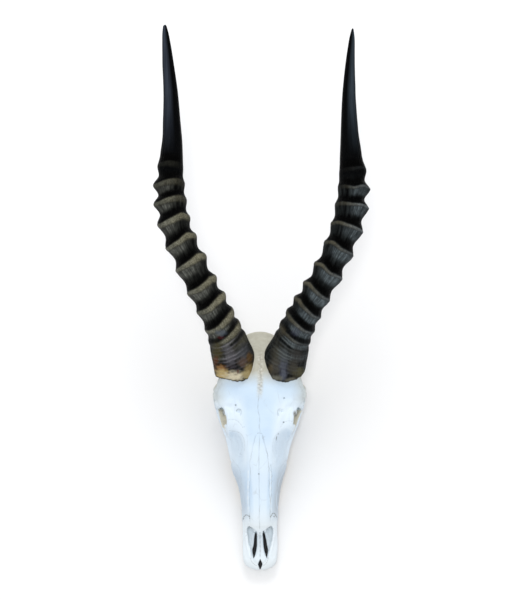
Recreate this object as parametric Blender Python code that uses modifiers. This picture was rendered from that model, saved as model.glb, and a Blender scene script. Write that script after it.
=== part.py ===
"""Upper skull of a blesbok with its two horn sheaths and its twelve cheek teeth.

The muzzle points along -Y, the horns sweep back along +Y and +X is the animal's left side.
The skull rests on its worn cheek teeth and on the tips of two processes behind them, at z = 0.
All sizes below are in millimetres, and y = 0 lies at the middle of the orbits until the whole
skull is centred at the end.
"""

import math

import bmesh
import bpy
import numpy as np
from mathutils import Matrix, Vector

MM = 0.001

# Bone, in rows along the face and the braincase. Each row is half of one cross-section.
# y, roof at the midline, roof edge x z, upper side x z, widest x z, lower edge x z, underside
SKULL_ROWS = (
    (-183, 17.5, 3, 17, 5.5, 16, 6.5, 14.5, 4, 13, 12.5),
    (-180, 20, 8, 19.5, 12, 17.5, 14, 15, 11, 12, 11.5),
    (-174.5, 23, 11.5, 22, 17, 20, 20.3, 16, 17, 11, 10.8),
    (-164, 27, 12, 26, 18, 22.5, 21.7, 17.5, 18, 10.5, 10.8),
    (-150, 33, 12, 31.5, 18, 26.5, 21.4, 19, 18, 10.5, 11),
    (-140, 43, 11.5, 41, 17.5, 33, 21.3, 20.5, 18, 11, 12),
    (-128, 53, 11.5, 51, 17.5, 41, 21.9, 24, 18.5, 11.5, 14),
    (-115, 59, 11.8, 57, 18, 45, 22.7, 26, 19, 12.5, 16),
    (-100, 64.5, 12, 62.5, 18.5, 49, 23.9, 28, 20, 14, 18),
    (-88, 69, 12.3, 67, 19.5, 52, 25.4, 29, 21, 15, 20),
    (-72, 75, 12.8, 73, 22, 56, 29.4, 32, 24, 16, 21.5),
    (-60, 79.5, 13.5, 77.5, 24.5, 59, 34.2, 36, 29, 17, 22),
    (-47, 84, 15, 82, 27.5, 62.5, 36.4, 40, 30, 18, 22.5),
    (-30, 89.5, 20, 87, 32, 69, 39.6, 46, 30, 19, 23.5),
    (-20, 92.5, 27, 89, 36.5, 75, 42.4, 50, 30, 20, 24),
    (-10, 95.5, 33, 91, 41, 78, 46.5, 52, 29, 21, 26),
    (0, 98.5, 36.5, 93, 44, 78, 43, 56, 24, 27, 29),
    (10, 102, 38.5, 95.5, 47, 80, 39, 60, 19, 32, 31),
    (19, 105.5, 41, 97.5, 52, 84, 37, 62, 17, 34, 33),
    (27, 108, 43, 99.5, 54, 87, 40, 64, 19, 34, 33),
    (36, 110.5, 40, 99, 51, 88, 34, 63, 16, 33, 31),
    (47, 113, 33, 98.5, 46, 85, 34, 60, 14, 31, 28.5),
    (60, 113, 28, 99, 41, 82, 37.5, 58, 13, 28, 25.5),
    (74, 108.5, 25, 98.5, 38.5, 78, 39.5, 56, 13, 25, 22.5),
    (87, 102, 22, 93.5, 34, 73, 38.5, 53, 13, 22.5, 20),
    (97, 95, 18, 88, 29, 70, 34, 50, 12, 21, 18.5),
    (104, 86, 12, 79, 22, 63, 24, 46, 10, 25, 22),
    (107.5, 75, 6, 70, 11, 58, 13, 46, 7, 35, 32),
)
ROW_STEP = 3.0
SECTION_POINTS = 44

# Bars of bone as x, y, z and radius. Each is mirrored.
ORBIT_RIM = (
    (40.5, 2, 92.5, 3.6),
    (37.5, -14, 87, 4.2),
    (38.5, -22, 72, 4.6),
    (43, -18, 56, 4.4),
    (49.3, 0, 48.5, 3.8),
    (53.2, 16, 54, 3.6),
    (55, 24.5, 70, 3.6),
    (50.5, 17, 86.5, 3.8),
)
CHEEK_ARCH = (
    (35.5, -48, 38, 4.5),
    (41.5, -24, 42, 6.5),
    (48, 2, 43.5, 6.2),
    (51.5, 22, 44.5, 5.6),
    (50, 42, 45.5, 5.2),
    (44, 57, 45, 6),
    (34, 67, 43, 8),
)
NUCHAL_CREST = (
    (0, 103, 87, 6),
    (13, 101.5, 84, 5.2),
    (25, 96.5, 74, 4.8),
    (33, 90.5, 60, 5),
    (35, 88, 48, 4),
)
OCCIPITAL_KEEL = ((0, 104, 86, 4), (0, 107.5, 72, 4), (0, 107.5, 58, 3.5))
POSTORBITAL_BAR = ((46, 24, 96, 5), (53.2, 24.5, 84, 4.4), (54.6, 25, 70, 4.2), (53, 20, 54, 4.4))
TOOTH_RIDGE = (
    (19, -104, 17.5, 6),
    (21.5, -90, 19.3, 8.5),
    (25, -70, 20.4, 9.8),
    (26.8, -45, 20.8, 10.4),
    (27.6, -22, 20.8, 10.2),
    (27.4, -14, 22, 8),
)
EAR_TUBE = ((26, 68, 38, 6), (38, 69, 47, 4.6))
PARAOCCIPITAL = (
    (28, 91, 50, 10),
    (28, 92, 32, 8),
    (26.6, 90.5, 16, 6.2),
    (24.8, 87.5, 3, 4.8),
    (24, 86, -4, 4.2),
)
PTERYGOID = ((11.5, -4, 24, 4), (12.5, 12, 25, 3.2), (12.8, 28, 26, 2.8), (12.4, 40, 31, 3.4))
MIRRORED_BARS = (
    CHEEK_ARCH,
    POSTORBITAL_BAR,
    TOOTH_RIDGE,
    EAR_TUBE,
    PARAOCCIPITAL,
    PTERYGOID,
    NUCHAL_CREST,
)
BAR_POINTS_PER_MM = 0.5
BAR_SIDES = 16
BAR_REFERENCE = Vector((0.31, 0.17, 0.93))  # lies along no bar, so that its sections don't turn over

# Rounded lumps of bone as centre x y z and half sizes. Each is mirrored.
LUMPS = (
    (14, 103, 21, 8.8, 10, 12),  # occipital condyle
    (18.5, 71, 26, 7.5, 12.5, 11.5),  # auditory bulla
    (12.2, 18, 29, 2.6, 26, 12),  # pterygoid plate
    (32, 82, 56, 8, 13, 16),  # mastoid swelling
    (9, 64, 93, 14, 26, 19),  # roof of the braincase
    (39, -3, 46.5, 10.5, 22, 7.5),  # floor of the orbit
)

# Horn axis as x, y, z and mean radius along the horn, which starts inside the skull.
HORN_PATH = (
    (25.5, 38.5, 72.5, 24.6),
    (28.4, 45.5, 81.5, 25.4),
    (31.3, 53, 91, 25.4),
    (35, 71.5, 111.5, 24.6),
    (42, 92, 131.8, 22.6),
    (62.6, 125.4, 162.3, 19),
    (85, 163.2, 187.2, 17.4),
    (103, 202.5, 206.3, 17),
    (110.2, 247.7, 222.6, 15.8),
    (109, 283.5, 234.5, 13.4),
    (107.3, 312, 243.3, 10.4),
    (107, 352, 257.2, 7.8),
    (109.5, 388, 271, 6),
    (111.6, 412, 281, 4.2),
    (112.6, 425, 287, 1.6),
)
HORN_SIDE = {"horn_left": 1, "horn_right": -1}
# How far each horn leans to +X of that path, as millimetres along it and shift.
HORN_LEAN = {
    "horn_left": ((90, 0), (150, 1.7), (215, 1.8), (265, 1.2), (305, 0.2), (400, -1.3), (450, -1.4)),
    "horn_right": ((90, 0), (126, 0.8), (165, 2.2), (300, 2.4), (335, 0.8), (375, 0), (450, -1.3)),
}
FORE_AND_AFT_SWELL = 1.09  # the base is oval, longer along the skull than across it
SWELL_ENDS_AT = 140.0
AXIS_SPAN = 3.0  # half of the length of axis that a section's direction is read from

# Crests of the rings: millimetres along the horn from the skull's surface, then how far the crest
# stands over the waists beside it on the outer and on the inner side of the horn.
RING_CRESTS = {
    "horn_left": (
        (43, 0.8, 1.8),
        (58, 1.2, 2.0),
        (75, 1.8, 2.8),
        (94.5, 2.4, 3.8),
        (117, 3.0, 4.2),
        (145, 4.4, 4.0),
        (175, 4.8, 2.8),
        (203, 5.0, 2.2),
        (229.5, 6.0, 2.0),
        (252, 6.2, 1.8),
        (281, 3.0, 0.5),
    ),
    "horn_right": (
        (43, 0.8, 1.8),
        (58, 1.2, 2.0),
        (76, 1.8, 2.8),
        (100, 2.6, 3.8),
        (125.5, 3.2, 4.2),
        (157, 4.0, 4.6),
        (186, 4.4, 3.4),
        (212, 5.0, 2.6),
        (235, 6.2, 2.0),
        (259.5, 6.2, 1.8),
        (287, 2.5, 0.5),
    ),
}
WAIST_AT = 0.44  # share of the way from one crest to the next
RING_STATIONS = (0.0, 0.17, WAIST_AT, 0.74)
CREST_SHARE = 0.52  # share of a ring's height that lies outside the mean radius
LAST_RING_FADES = 9.0
BASE_STATIONS = (-9, -3, 4, 12, 21, 31)
TIP_STATIONS = (0, 9, 26, 46, 68, 91, 113, 133)  # beyond the last crest
POINT_STATIONS = (8, 3.5, 0.8)  # before the end of the horn
# Lean of the rings towards the inner side, as a slope, along the horn.
RING_LEAN = ((40, 0.2), (110, 0.19), (150, 0.12), (190, 0.03), (215, 0))
HORN_SIDES = 12
BASE_TUCK = 22.0  # the sheath's buried end narrows to a point this far inside the skull

# Bony core and flared seat that each sheath sits on.
SEAT_TILT = math.radians(24)  # the seat's plane rises towards the front
SEAT_CENTRE = (31.3, 53, 92.5)
SEAT_RADII = (24.6, 26.8)
SEAT_FLARE = ((38, 0.78), (24, 0.9), (12, 1.0), (5, 1.04), (1, 1.02))  # depth and share of the radii
SEAT_DRIFT = (-0.25, -0.1)  # inwards and forwards for each millimetre of depth
CORE_LENGTH = 44.0
CORE_START = -14.0
CORE_INSET = 4.0
CORE_TAPER = 5.0

# Cheek teeth: name, length along the row, width, and the middle of the crown across the skull.
TEETH = (
    ("p2", 8.0, 7.5, 21.4),
    ("p3", 10.0, 9.5, 22.6),
    ("p4", 10.5, 11.5, 23.8),
    ("m1", 15.0, 13.5, 25.4),
    ("m2", 17.0, 14.5, 27.0),
    ("m3", 19.0, 14.0, 27.8),
)
MOLAR_SHARES = (0.62, 0.94, 1.0, 0.95, 0.84, 0.95, 1.0, 0.94, 0.62)  # of the width, along the tooth
PREMOLAR_SHARES = (0.66, 0.95, 1.0, 0.95, 0.66)
ROW_STARTS_AT = -98.0
TOOTH_GAP = 0.5
TOOTH_HEIGHT = 19.0
CROWN_SHARES = ((0, 0.94), (4, 0.99), (TOOTH_HEIGHT, 0.84))  # height and share of the outline
SOCKET_CLEARANCE = 0.5
TROUGH_CORNER = 0.18  # share of a tooth's length at which its part of the trough starts
TROUGH_END_SHARE = 0.34  # half of the trough's width at its ends, as a share of the tooth's
FIT_GAP = 0.5
BELOW_FLOOR = -5.0
STANDING_CUT = ((-150, -220, -40), (150, 150, 0))

# Hollows cut out of the bone.
ORBIT_HOLLOW = (50, 2, 70.5, 27, 20, 19.5)
FACE_HOLLOW = (32.5, -47, 71.5, 9, 27, 14)
MIRRORED_HOLLOWS = (ORBIT_HOLLOW, FACE_HOLLOW)
MIDDLE_HOLLOWS = (
    (0, 111, 32, 10.5, 30, 10.5),  # foramen magnum
    (0, -2, 33, 8.5, 26, 8),  # rear opening of the nose
    (0, -55, 17, 15.5, 52, 5.5),  # arch of the palate
)
# Airway under the nasal bones, as y, half width, floor and ceiling.
AIRWAY_ROWS = (
    (-55, 5, 34, 52),
    (-80, 9, 27, 58),
    (-108, 12.5, 22, 53),
    (-128, 15, 20.5, 48),
    (-146, 15.5, 19.5, 41),
)
# Opening of the nose seen from above, from the tip of a nasal bone round to the front of the jaw.
NOSE_OUTLINE = (
    (3.7, -141),
    (13.6, -132),
    (16.4, -135),
    (15.9, -142),
    (13.9, -150),
    (11.2, -160),
    (9.6, -168),
    (5.4, -175.5),
    (1.6, -179),
)
NOSE_NOTCH = -138.5
NOSE_FLOOR = 18.5
NOSE_CUT_TOP = 80.0
# Slits through the floor of the nose and between the two halves of the jaw's tip. They are pockets
# from above and from below, with a thin web of dried tissue left between them.
FISSURE_OUTLINE = (
    (3.6, -137.5),
    (6.4, -139),
    (8.6, -148),
    (9, -156),
    (7.6, -167),
    (4.2, -158),
    (3.2, -147),
)
TIP_GAP_OUTLINE = (
    (0.7, -168),
    (2.7, -174.5),
    (1.3, -188),
    (-1.3, -188),
    (-2.7, -174.5),
    (-0.7, -168),
)
WEB_LEVELS = (13.3, 14.6)

# Small holes drilled into the bone: centre, direction inwards and radius.
FORAMINA = (
    ((26, -1, 101), (0.15, 0.35, -0.9), 2.1),  # over the orbit
    ((25.5, -86, 36), (-0.75, 0.6, 0.15), 3.0),  # under the lacrimal bone
)
FORAMEN_DEPTH = 8.0
RIM_BREAK = (51, 13, 55, 5, 4, 4)  # chipped edge of the left orbit only

VOXEL = 1.6
JOIN_SMOOTHING = 6
HOLLOW_SMOOTHING = 4
CRANIUM_TRIANGLES = 4600
BONE = ((0.80, 0.83, 0.86, 1), 0.55)
KERATIN = ((0.035, 0.034, 0.030, 1), 0.42)
ENAMEL = ((0.72, 0.66, 0.52, 1), 0.35)


def clear_scene():
    for obj in list(bpy.data.objects):
        bpy.data.objects.remove(obj, do_unlink=True)


def new_collection(name, parent):
    collection = bpy.data.collections.new(name)
    parent.children.link(collection)
    return collection


def new_material(name, colour, roughness):
    material = bpy.data.materials.new(name)
    material.use_nodes = True
    shader = material.node_tree.nodes["Principled BSDF"]
    shader.inputs["Base Color"].default_value = colour
    shader.inputs["Roughness"].default_value = roughness
    return material


def new_object(name, bm, collection):
    mesh = bpy.data.meshes.new(name)
    bmesh.ops.recalc_face_normals(bm, faces=bm.faces)
    bm.to_mesh(mesh)
    bm.free()
    obj = bpy.data.objects.new(name, mesh)
    collection.objects.link(obj)
    return obj


def new_cutter(name, bm, collection):
    obj = new_object(name, bm, collection)
    obj.hide_render = True
    obj.display_type = "WIRE"
    return obj


def smooth_values(at, places, values):
    """Cubic curve through values at rising places, with no swing past them, read at `at`."""
    places, values = np.asarray(places, float), np.asarray(values, float)
    steps = np.diff(places)
    slopes = np.diff(values, axis=0) / steps[:, None]
    tangents = np.zeros_like(values)
    tangents[0], tangents[-1] = slopes[0], slopes[-1]
    before, after = slopes[:-1], slopes[1:]
    weight = (steps[:-1] / (steps[:-1] + steps[1:]))[:, None]
    mean = (1 - weight) * before + weight * after
    limit = 3 * np.minimum(abs(before), abs(after))
    turns = before * after <= 0
    tangents[1:-1] = np.where(turns, 0, np.clip(mean, -limit, limit))
    at = np.atleast_1d(at)
    i = np.clip(np.searchsorted(places, at) - 1, 0, len(places) - 2)
    t = ((at - places[i]) / steps[i])[:, None]
    h = steps[i][:, None]
    return (
        (2 * t**3 - 3 * t**2 + 1) * values[i]
        + (t**3 - 2 * t**2 + t) * h * tangents[i]
        + (3 * t**2 - 2 * t**3) * values[i + 1]
        + (t**3 - t**2) * h * tangents[i + 1]
    )


def round_curve(points, count, closed=False):
    """Rounded curve through the points, as `count` points spaced by arc length."""
    points = np.asarray(points, float)
    loop = np.vstack([points, points[:1]]) if closed else points
    ends = (loop[-2], loop[1]) if closed else (2 * loop[0] - loop[1], 2 * loop[-1] - loop[-2])
    padded = np.vstack([ends[0], loop, ends[1]])
    fine = []
    for a, b, c, d in zip(padded, padded[1:], padded[2:], padded[3:]):
        bend, twist = 2 * a - 5 * b + 4 * c - d, 3 * b - a - 3 * c + d
        for t in np.linspace(0, 1, 16, endpoint=False):
            fine.append(0.5 * (2 * b + (c - a) * t + bend * t**2 + twist * t**3))
    fine.append(loop[-1])
    fine = np.array(fine)
    length = np.concatenate([[0], np.cumsum(np.linalg.norm(np.diff(fine[:, :3], axis=0), axis=1))])
    wanted = np.linspace(0, length[-1], count + closed)[:count]
    return np.column_stack([np.interp(wanted, length, column) for column in fine.T]).tolist()


def loft(bm, sections, closed=False):
    """Skin over equal-length sections, in millimetres, capped at both ends unless it closes."""
    rings = [[bm.verts.new(Vector(point) * MM) for point in section] for section in sections]
    pairs = list(zip(rings, rings[1:])) + ([(rings[-1], rings[0])] if closed else [])
    for first, second in pairs:
        for i in range(len(first)):
            j = (i + 1) % len(first)
            bm.faces.new((first[i], first[j], second[j], second[i]))
    if not closed:
        bm.faces.new(reversed(rings[0]))
        bm.faces.new(rings[-1])


def skull_section(row):
    y, top, *sides, bottom = row
    corners = [(x, z) for x, z in zip(sides[::2], sides[1::2])]
    outline = [(0, top)] + corners + [(0, bottom)] + [(-x, z) for x, z in reversed(corners)]
    return [(x, y, z) for x, z in round_curve(outline, SECTION_POINTS, closed=True)]


def add_skull_loft(bm):
    rows = np.array(SKULL_ROWS, float)
    count = int((rows[-1, 0] - rows[0, 0]) / ROW_STEP)
    ys = np.linspace(rows[0, 0], rows[-1, 0], count)
    filled = smooth_values(ys, rows[:, 0], rows[:, 1:])
    loft(bm, [skull_section((y, *values)) for y, values in zip(ys, filled)])


def circle(sides):
    turns = [2 * math.pi * k / sides for k in range(sides)]
    return [(math.cos(a), math.sin(a)) for a in turns]


def across(direction, reference):
    """Two unit vectors square to a direction: one as near the reference as it can be, and a third."""
    first = reference - direction * reference.dot(direction)
    first.normalize()
    return first, direction.cross(first).normalized()


def tube_sections(path, sides, reference, closed=False):
    """Round sections along a path of x, y, z and radius."""
    sections = []
    for i, (x, y, z, radius) in enumerate(path):
        before = path[i - 1] if i or closed else path[i]
        after = path[(i + 1) % len(path)] if closed or i + 1 < len(path) else path[i]
        direction = (Vector(after[:3]) - Vector(before[:3])).normalized()
        first, second = across(direction, reference)
        middle, radius = Vector((x, y, z)), float(radius)
        sections.append([middle + (a * first + b * second) * radius for a, b in circle(sides)])
    return sections


def add_bar(bm, points, side, closed=False):
    length = sum(math.dist(a[:3], b[:3]) for a, b in zip(points, points[1:]))
    count = int(length * BAR_POINTS_PER_MM) + 4
    path = round_curve([(side * x, y, z, r) for x, y, z, r in points], count, closed)
    loft(bm, tube_sections(path, BAR_SIDES, BAR_REFERENCE, closed), closed)


def placed(centre, half_size):
    """Matrix that puts a shape of half-size 1 at a centre, both in millimetres."""
    return Matrix.Translation(Vector(centre) * MM) @ Matrix.Diagonal((*(Vector(half_size) * MM), 1))


def add_lump(bm, x, y, z, rx, ry, rz):
    place = placed((x, y, z), (rx, ry, rz))
    bmesh.ops.create_uvsphere(bm, u_segments=24, v_segments=16, radius=1, matrix=place)


def horn_axis(name):
    """Points of a horn's axis with mean radius, and their lengths from the skull's surface."""
    side = HORN_SIDE[name]
    path = np.array(round_curve([(side * x, y, z, r) for x, y, z, r in HORN_PATH], 900))
    length = np.concatenate([[0], np.cumsum(np.linalg.norm(np.diff(path[:, :3], axis=0), axis=1))])
    x, y, z, _ = HORN_PATH[2]
    length -= length[np.argmin(np.linalg.norm(path[:, :3] - (side * x, y, z), axis=1))]
    lean = np.array(HORN_LEAN[name], float)
    path[:, 0] += smooth_values(length, lean[:, 0], lean[:, 1:])[:, 0] * (length > lean[0, 0])
    return path, length


def axis_point(path, length, s):
    """x, y, z and mean radius of a horn at length s."""
    return [float(np.interp(s, length, column)) for column in path.T]


def add_horn_seat(bm, name):
    """Flared seat around the base of the sheath, and the bony core inside it."""
    side = HORN_SIDE[name]
    x, y, z = SEAT_CENTRE
    normal = Vector((0, math.sin(SEAT_TILT), math.cos(SEAT_TILT)))
    forward = Vector((0, math.cos(SEAT_TILT), -math.sin(SEAT_TILT)))
    sideways, along = SEAT_RADII
    sections = []
    for depth, share in SEAT_FLARE:
        centre = Vector((side * (x + SEAT_DRIFT[0] * depth), y + SEAT_DRIFT[1] * depth, z))
        centre -= normal * depth
        reach = Vector((sideways * share, 0, 0)), forward * (along * share)
        sections.append([centre + a * reach[0] + b * reach[1] for a, b in circle(24)])
    loft(bm, sections)
    path, length = horn_axis(name)
    core = []
    for s in np.linspace(CORE_START, CORE_LENGTH, 12).tolist():
        *middle, radius = axis_point(path, length, s)
        core.append((*middle, radius - CORE_INSET - CORE_TAPER * max(0, s / CORE_LENGTH) ** 3))
    loft(bm, tube_sections(core, 24, Vector((0, -0.74, 0.67))))


def cranium_forms():
    bm = bmesh.new()
    add_skull_loft(bm)
    for side in (1, -1):
        add_bar(bm, ORBIT_RIM, side, closed=True)
        for bar in MIRRORED_BARS:
            add_bar(bm, bar, side)
        for x, *rest in LUMPS:
            add_lump(bm, side * x, *rest)
    add_bar(bm, OCCIPITAL_KEEL, 1)
    for name in HORN_SIDE:
        add_horn_seat(bm, name)
    return bm


def add_prism(bm, outline, bottom, top):
    loft(bm, [[(x, y, z) for x, y in outline] for z in (bottom, top)])


def add_airway(bm):
    rows = np.array(AIRWAY_ROWS, float)
    ys = np.linspace(rows[0, 0], rows[-1, 0], 14)
    sections = []
    for y, (half, floor, ceiling) in zip(ys, smooth_values(-ys, -rows[:, 0], rows[:, 1:])):
        middle, rise = (floor + ceiling) / 2, (ceiling - floor) / 2
        sections.append([(half * a, y, middle + rise * b) for a, b in circle(20)])
    loft(bm, sections)


def hollow_cutters(collection):
    """Everything that is cut out before the surface is smoothed."""
    shapes = []
    for side in (1, -1):
        for x, *rest in MIRRORED_HOLLOWS:
            shapes.append((add_lump, (side * x, *rest)))
    shapes += [(add_lump, hollow) for hollow in MIDDLE_HOLLOWS]
    shapes.append((add_airway, ()))
    nose = list(NOSE_OUTLINE) + [(-x, y) for x, y in reversed(NOSE_OUTLINE)] + [(0, NOSE_NOTCH)]
    shapes.append((add_prism, (nose, NOSE_FLOOR, NOSE_CUT_TOP)))
    shapes.append((add_lump, RIM_BREAK))
    for number, (add, values) in enumerate(shapes):
        bm = bmesh.new()
        add(bm, *values)
        new_cutter(f"hollow_{number:02d}", bm, collection)


def tooth_outlines():
    """Each tooth's middle and outline at its widest: molars have two lobes, premolars one."""
    start = ROW_STARTS_AT
    outlines = {}
    for name, length, width, x in TEETH:
        middle = start + length / 2
        shares = MOLAR_SHARES if name.startswith("m") else PREMOLAR_SHARES
        places = middle + length * np.linspace(-0.5, 0.5, len(shares))
        outer = [(x + width / 2 * share, y) for share, y in zip(shares, places)]
        inner = [(x - width / 2 * share, y) for share, y in zip(shares, places)]
        outlines[name] = (x, middle, outer + inner[::-1])
        start += length + TOOTH_GAP
    return outlines


def tooth_mesh(x, middle, outline, side):
    sections = []
    for z, share in CROWN_SHARES:
        section = [(x + (px - x) * share, middle + (py - middle) * share) for px, py in outline]
        sections.append([(side * px, py, z) for px, py in section])
    bm = bmesh.new()
    loft(bm, sections)
    return bm


def socket_trough(side):
    """One slot for the whole tooth row, a little wider than the widest place of each tooth."""
    outer, inner = [], []
    y = ROW_STARTS_AT
    for _, length, width, x in TEETH:
        reach = width / 2 + SOCKET_CLEARANCE
        for share in (TROUGH_CORNER, 1 - TROUGH_CORNER):
            outer.append((side * (x + reach), y + share * length))
            inner.append((side * (x - reach), y + share * length))
        y += length + TOOTH_GAP
    back, front = y - TOOTH_GAP + SOCKET_CLEARANCE, ROW_STARTS_AT - SOCKET_CLEARANCE
    ends = []
    for (_, _, width, x), y, turn in ((TEETH[-1], back, 1), (TEETH[0], front, -1)):
        half = turn * TROUGH_END_SHARE * width
        ends.append([(side * (x + half), y), (side * (x - half), y)])
    bm = bmesh.new()
    add_prism(bm, outer + ends[0] + inner[::-1] + ends[1], BELOW_FLOOR, TOOTH_HEIGHT + FIT_GAP)
    return bm


def add_box(bm, low, high):
    low, high = Vector(low), Vector(high)
    bmesh.ops.create_cube(bm, size=2, matrix=placed((low + high) / 2, (high - low) / 2))


def add_drill(bm, side, centre, inwards, radius):
    x, y, z = centre
    middle = Vector((side * x, y, z))
    axis = Vector((side * inwards[0], *inwards[1:])).normalized() * FORAMEN_DEPTH
    path = [(*(middle - axis), radius), (*(middle + axis), radius)]
    loft(bm, tube_sections(path, 10, BAR_REFERENCE))


def fine_cutters(collection):
    """The flat where the skull stands, slits, sockets and foramina, cut after the faces are thinned."""
    shapes = [("standing_plane", add_box, STANDING_CUT)]
    slits = {"tip": TIP_GAP_OUTLINE}
    for side in (1, -1):
        slits[f"fissure_{side}"] = round_curve([(side * x, y) for x, y in FISSURE_OUTLINE], 12, closed=True)
        for number, hole in enumerate(FORAMINA):
            shapes.append((f"foramen_{side}_{number}", add_drill, (side, *hole)))
        new_cutter(f"socket_{side}", socket_trough(side), collection)
    for name, outline in slits.items():
        shapes.append((f"{name}_below", add_prism, (outline, BELOW_FLOOR, WEB_LEVELS[0])))
        shapes.append((f"{name}_above", add_prism, (outline, WEB_LEVELS[1], NOSE_CUT_TOP)))
    for name, add, values in shapes:
        bm = bmesh.new()
        add(bm, *values)
        new_cutter(name, bm, collection)


def cut_by_collection(obj, collection):
    cut = obj.modifiers.new("cut", "BOOLEAN")
    cut.operation = "DIFFERENCE"
    cut.solver = "EXACT"
    cut.operand_type = "COLLECTION"
    cut.collection = collection


def bake(obj):
    """Replaces the object's mesh by its shape with the modifiers applied."""
    shaped = bpy.data.meshes.new_from_object(obj.evaluated_get(bpy.context.evaluated_depsgraph_get()))
    obj.modifiers.clear()
    obj.data = shaped


def remesh(obj, smoothing):
    grid = obj.modifiers.new("even surface", "REMESH")
    grid.mode = "VOXEL"
    grid.voxel_size = VOXEL * MM
    if smoothing:
        smooth = obj.modifiers.new("smooth", "SMOOTH")
        smooth.factor = 0.5
        smooth.iterations = smoothing
    bake(obj)


def thin_faces(obj, triangles):
    thin = obj.modifiers.new("fewer faces", "DECIMATE")
    thin.ratio = triangles / sum(len(face.vertices) - 2 for face in obj.data.polygons)
    bake(obj)


def make_cranium(bones, cutters):
    cranium = new_object("cranium", cranium_forms(), bones)
    remesh(cranium, JOIN_SMOOTHING)
    hollows, fine = new_collection("hollows", cutters), new_collection("fine_cuts", cutters)
    hollow_cutters(hollows)
    cut_by_collection(cranium, hollows)
    bake(cranium)
    remesh(cranium, HOLLOW_SMOOTHING)
    thin_faces(cranium, CRANIUM_TRIANGLES)
    fine_cutters(fine)
    cut_by_collection(cranium, fine)
    bake(cranium)
    return cranium


def ring_relief(s, crests):
    """How far the horn's surface at s stands over the mean radius, on its outer and its inner side."""
    first, last = crests[0], crests[-1]
    if s < first[0]:
        return [max(0.0, s / first[0]) * CREST_SHARE * height for height in first[1:]]
    if s > last[0]:
        fade = max(0.0, 1 - (s - last[0]) / LAST_RING_FADES)
        return [fade * CREST_SHARE * height for height in last[1:]]
    number = max(i for i, crest in enumerate(crests[:-1]) if crest[0] <= s)
    low, high = crests[number], crests[number + 1]
    share = (s - low[0]) / (high[0] - low[0])
    down = share / WAIST_AT if share < WAIST_AT else (1 - share) / (1 - WAIST_AT)
    rise = CREST_SHARE - (0.5 - 0.5 * math.cos(math.pi * down))
    return [rise * (a + (b - a) * share) for a, b in zip(low[1:], high[1:])]


def horn_stations(crests, end):
    stations = list(BASE_STATIONS)
    for low, high in zip(crests, crests[1:]):
        stations += [low[0] + share * (high[0] - low[0]) for share in RING_STATIONS]
    stations += [crests[-1][0] + beyond for beyond in TIP_STATIONS]
    point = [end - before for before in POINT_STATIONS]
    return [s for s in stations if s < point[0] - 1] + point


def horn_mesh(name, crests):
    side = HORN_SIDE[name]
    path, length = horn_axis(name)
    sections = []
    for s in horn_stations(crests, length[-1]):
        x, y, z, radius = axis_point(path, length, s)
        ahead, behind = (Vector(axis_point(path, length, s + step)[:3]) for step in (AXIS_SPAN, -AXIS_SPAN))
        direction = (ahead - behind).normalized()
        front, outer = across(direction, Vector((0, -0.6, 0.8)))
        if outer.x * side < 0:
            outer = -outer
        swell = 1 + (FORE_AND_AFT_SWELL - 1) * max(0.0, 1 - max(s, 0) / SWELL_ENDS_AT)
        radius *= 1 + min(s, 0) / BASE_TUCK
        on_outer, on_inner = ring_relief(s, crests)
        slope = float(np.interp(s, *zip(*RING_LEAN)))
        section = []
        for forwards, outwards in circle(HORN_SIDES):
            relief = on_inner + (on_outer - on_inner) * (0.5 + 0.5 * outwards)
            spoke = front * (forwards * swell) + outer * (outwards / swell**0.5)
            lean = direction * (outwards * radius * slope)
            section.append(Vector((x, y, z)) + spoke * (radius + relief) - lean)
        sections.append(section)
    bm = bmesh.new()
    loft(bm, sections)
    return bm


def seat_cutter(cranium, collection):
    """The cranium grown by the gap that parts two touching pieces."""
    bm = bmesh.new()
    bm.from_mesh(cranium.data)
    bmesh.ops.triangulate(bm, faces=bm.faces)
    bm.normal_update()
    moves = [(vert, vert.normal * min(vert.calc_shell_factor(), 2) * FIT_GAP * MM) for vert in bm.verts]
    for vert, move in moves:
        vert.co += move
    new_cutter("grown_cranium", bm, collection)


def make_horns(bones, cutters, cranium):
    seats = new_collection("horn_seats", cutters)
    seat_cutter(cranium, seats)
    horns = []
    for name, crests in RING_CRESTS.items():
        horn = new_object(name, horn_mesh(name, crests), bones)
        cut_by_collection(horn, seats)
        bake(horn)
        horns.append(horn)
    return horns


def make_teeth(bones):
    teeth = []
    for word, side in (("left", 1), ("right", -1)):
        for name, (x, middle, outline) in tooth_outlines().items():
            teeth.append(new_object(f"tooth_{word}_{name}", tooth_mesh(x, middle, outline, side), bones))
    return teeth


def centre_on_floor(objects):
    """Moves the whole skull so that the middle of its box is at x = y = 0; it already stands on z = 0."""
    corners = np.array([vert.co for obj in objects for vert in obj.data.vertices])
    middle = (corners.min(axis=0) + corners.max(axis=0)) / 2
    for obj in objects:
        obj.data.transform(Matrix.Translation((-middle[0], -middle[1], 0)))


def main():
    clear_scene()
    top = bpy.context.scene.collection
    bones, cutters = new_collection("blesbok_skull", top), new_collection("cutters", top)
    cranium = make_cranium(bones, cutters)
    horns = make_horns(bones, cutters, cranium)
    teeth = make_teeth(bones)
    centre_on_floor([cranium, *horns, *teeth])
    looks = (
        ("bleached bone", BONE, [cranium]),
        ("horn keratin", KERATIN, horns),
        ("tooth enamel", ENAMEL, teeth),
    )
    for name, (colour, roughness), objects in looks:
        material = new_material(name, colour, roughness)
        for obj in objects:
            obj.data.materials.clear()
            obj.data.materials.append(material)
            obj.data.shade_smooth()
            obj.data.set_sharp_from_angle(angle=math.radians(50))


main()
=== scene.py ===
# Blesbok skull: detailed bone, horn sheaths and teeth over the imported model, on a pale studio floor.
import math

import bmesh
import bpy
import numpy as np
from mathutils import Matrix, Vector, noise
from mathutils.bvhtree import BVHTree


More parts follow.
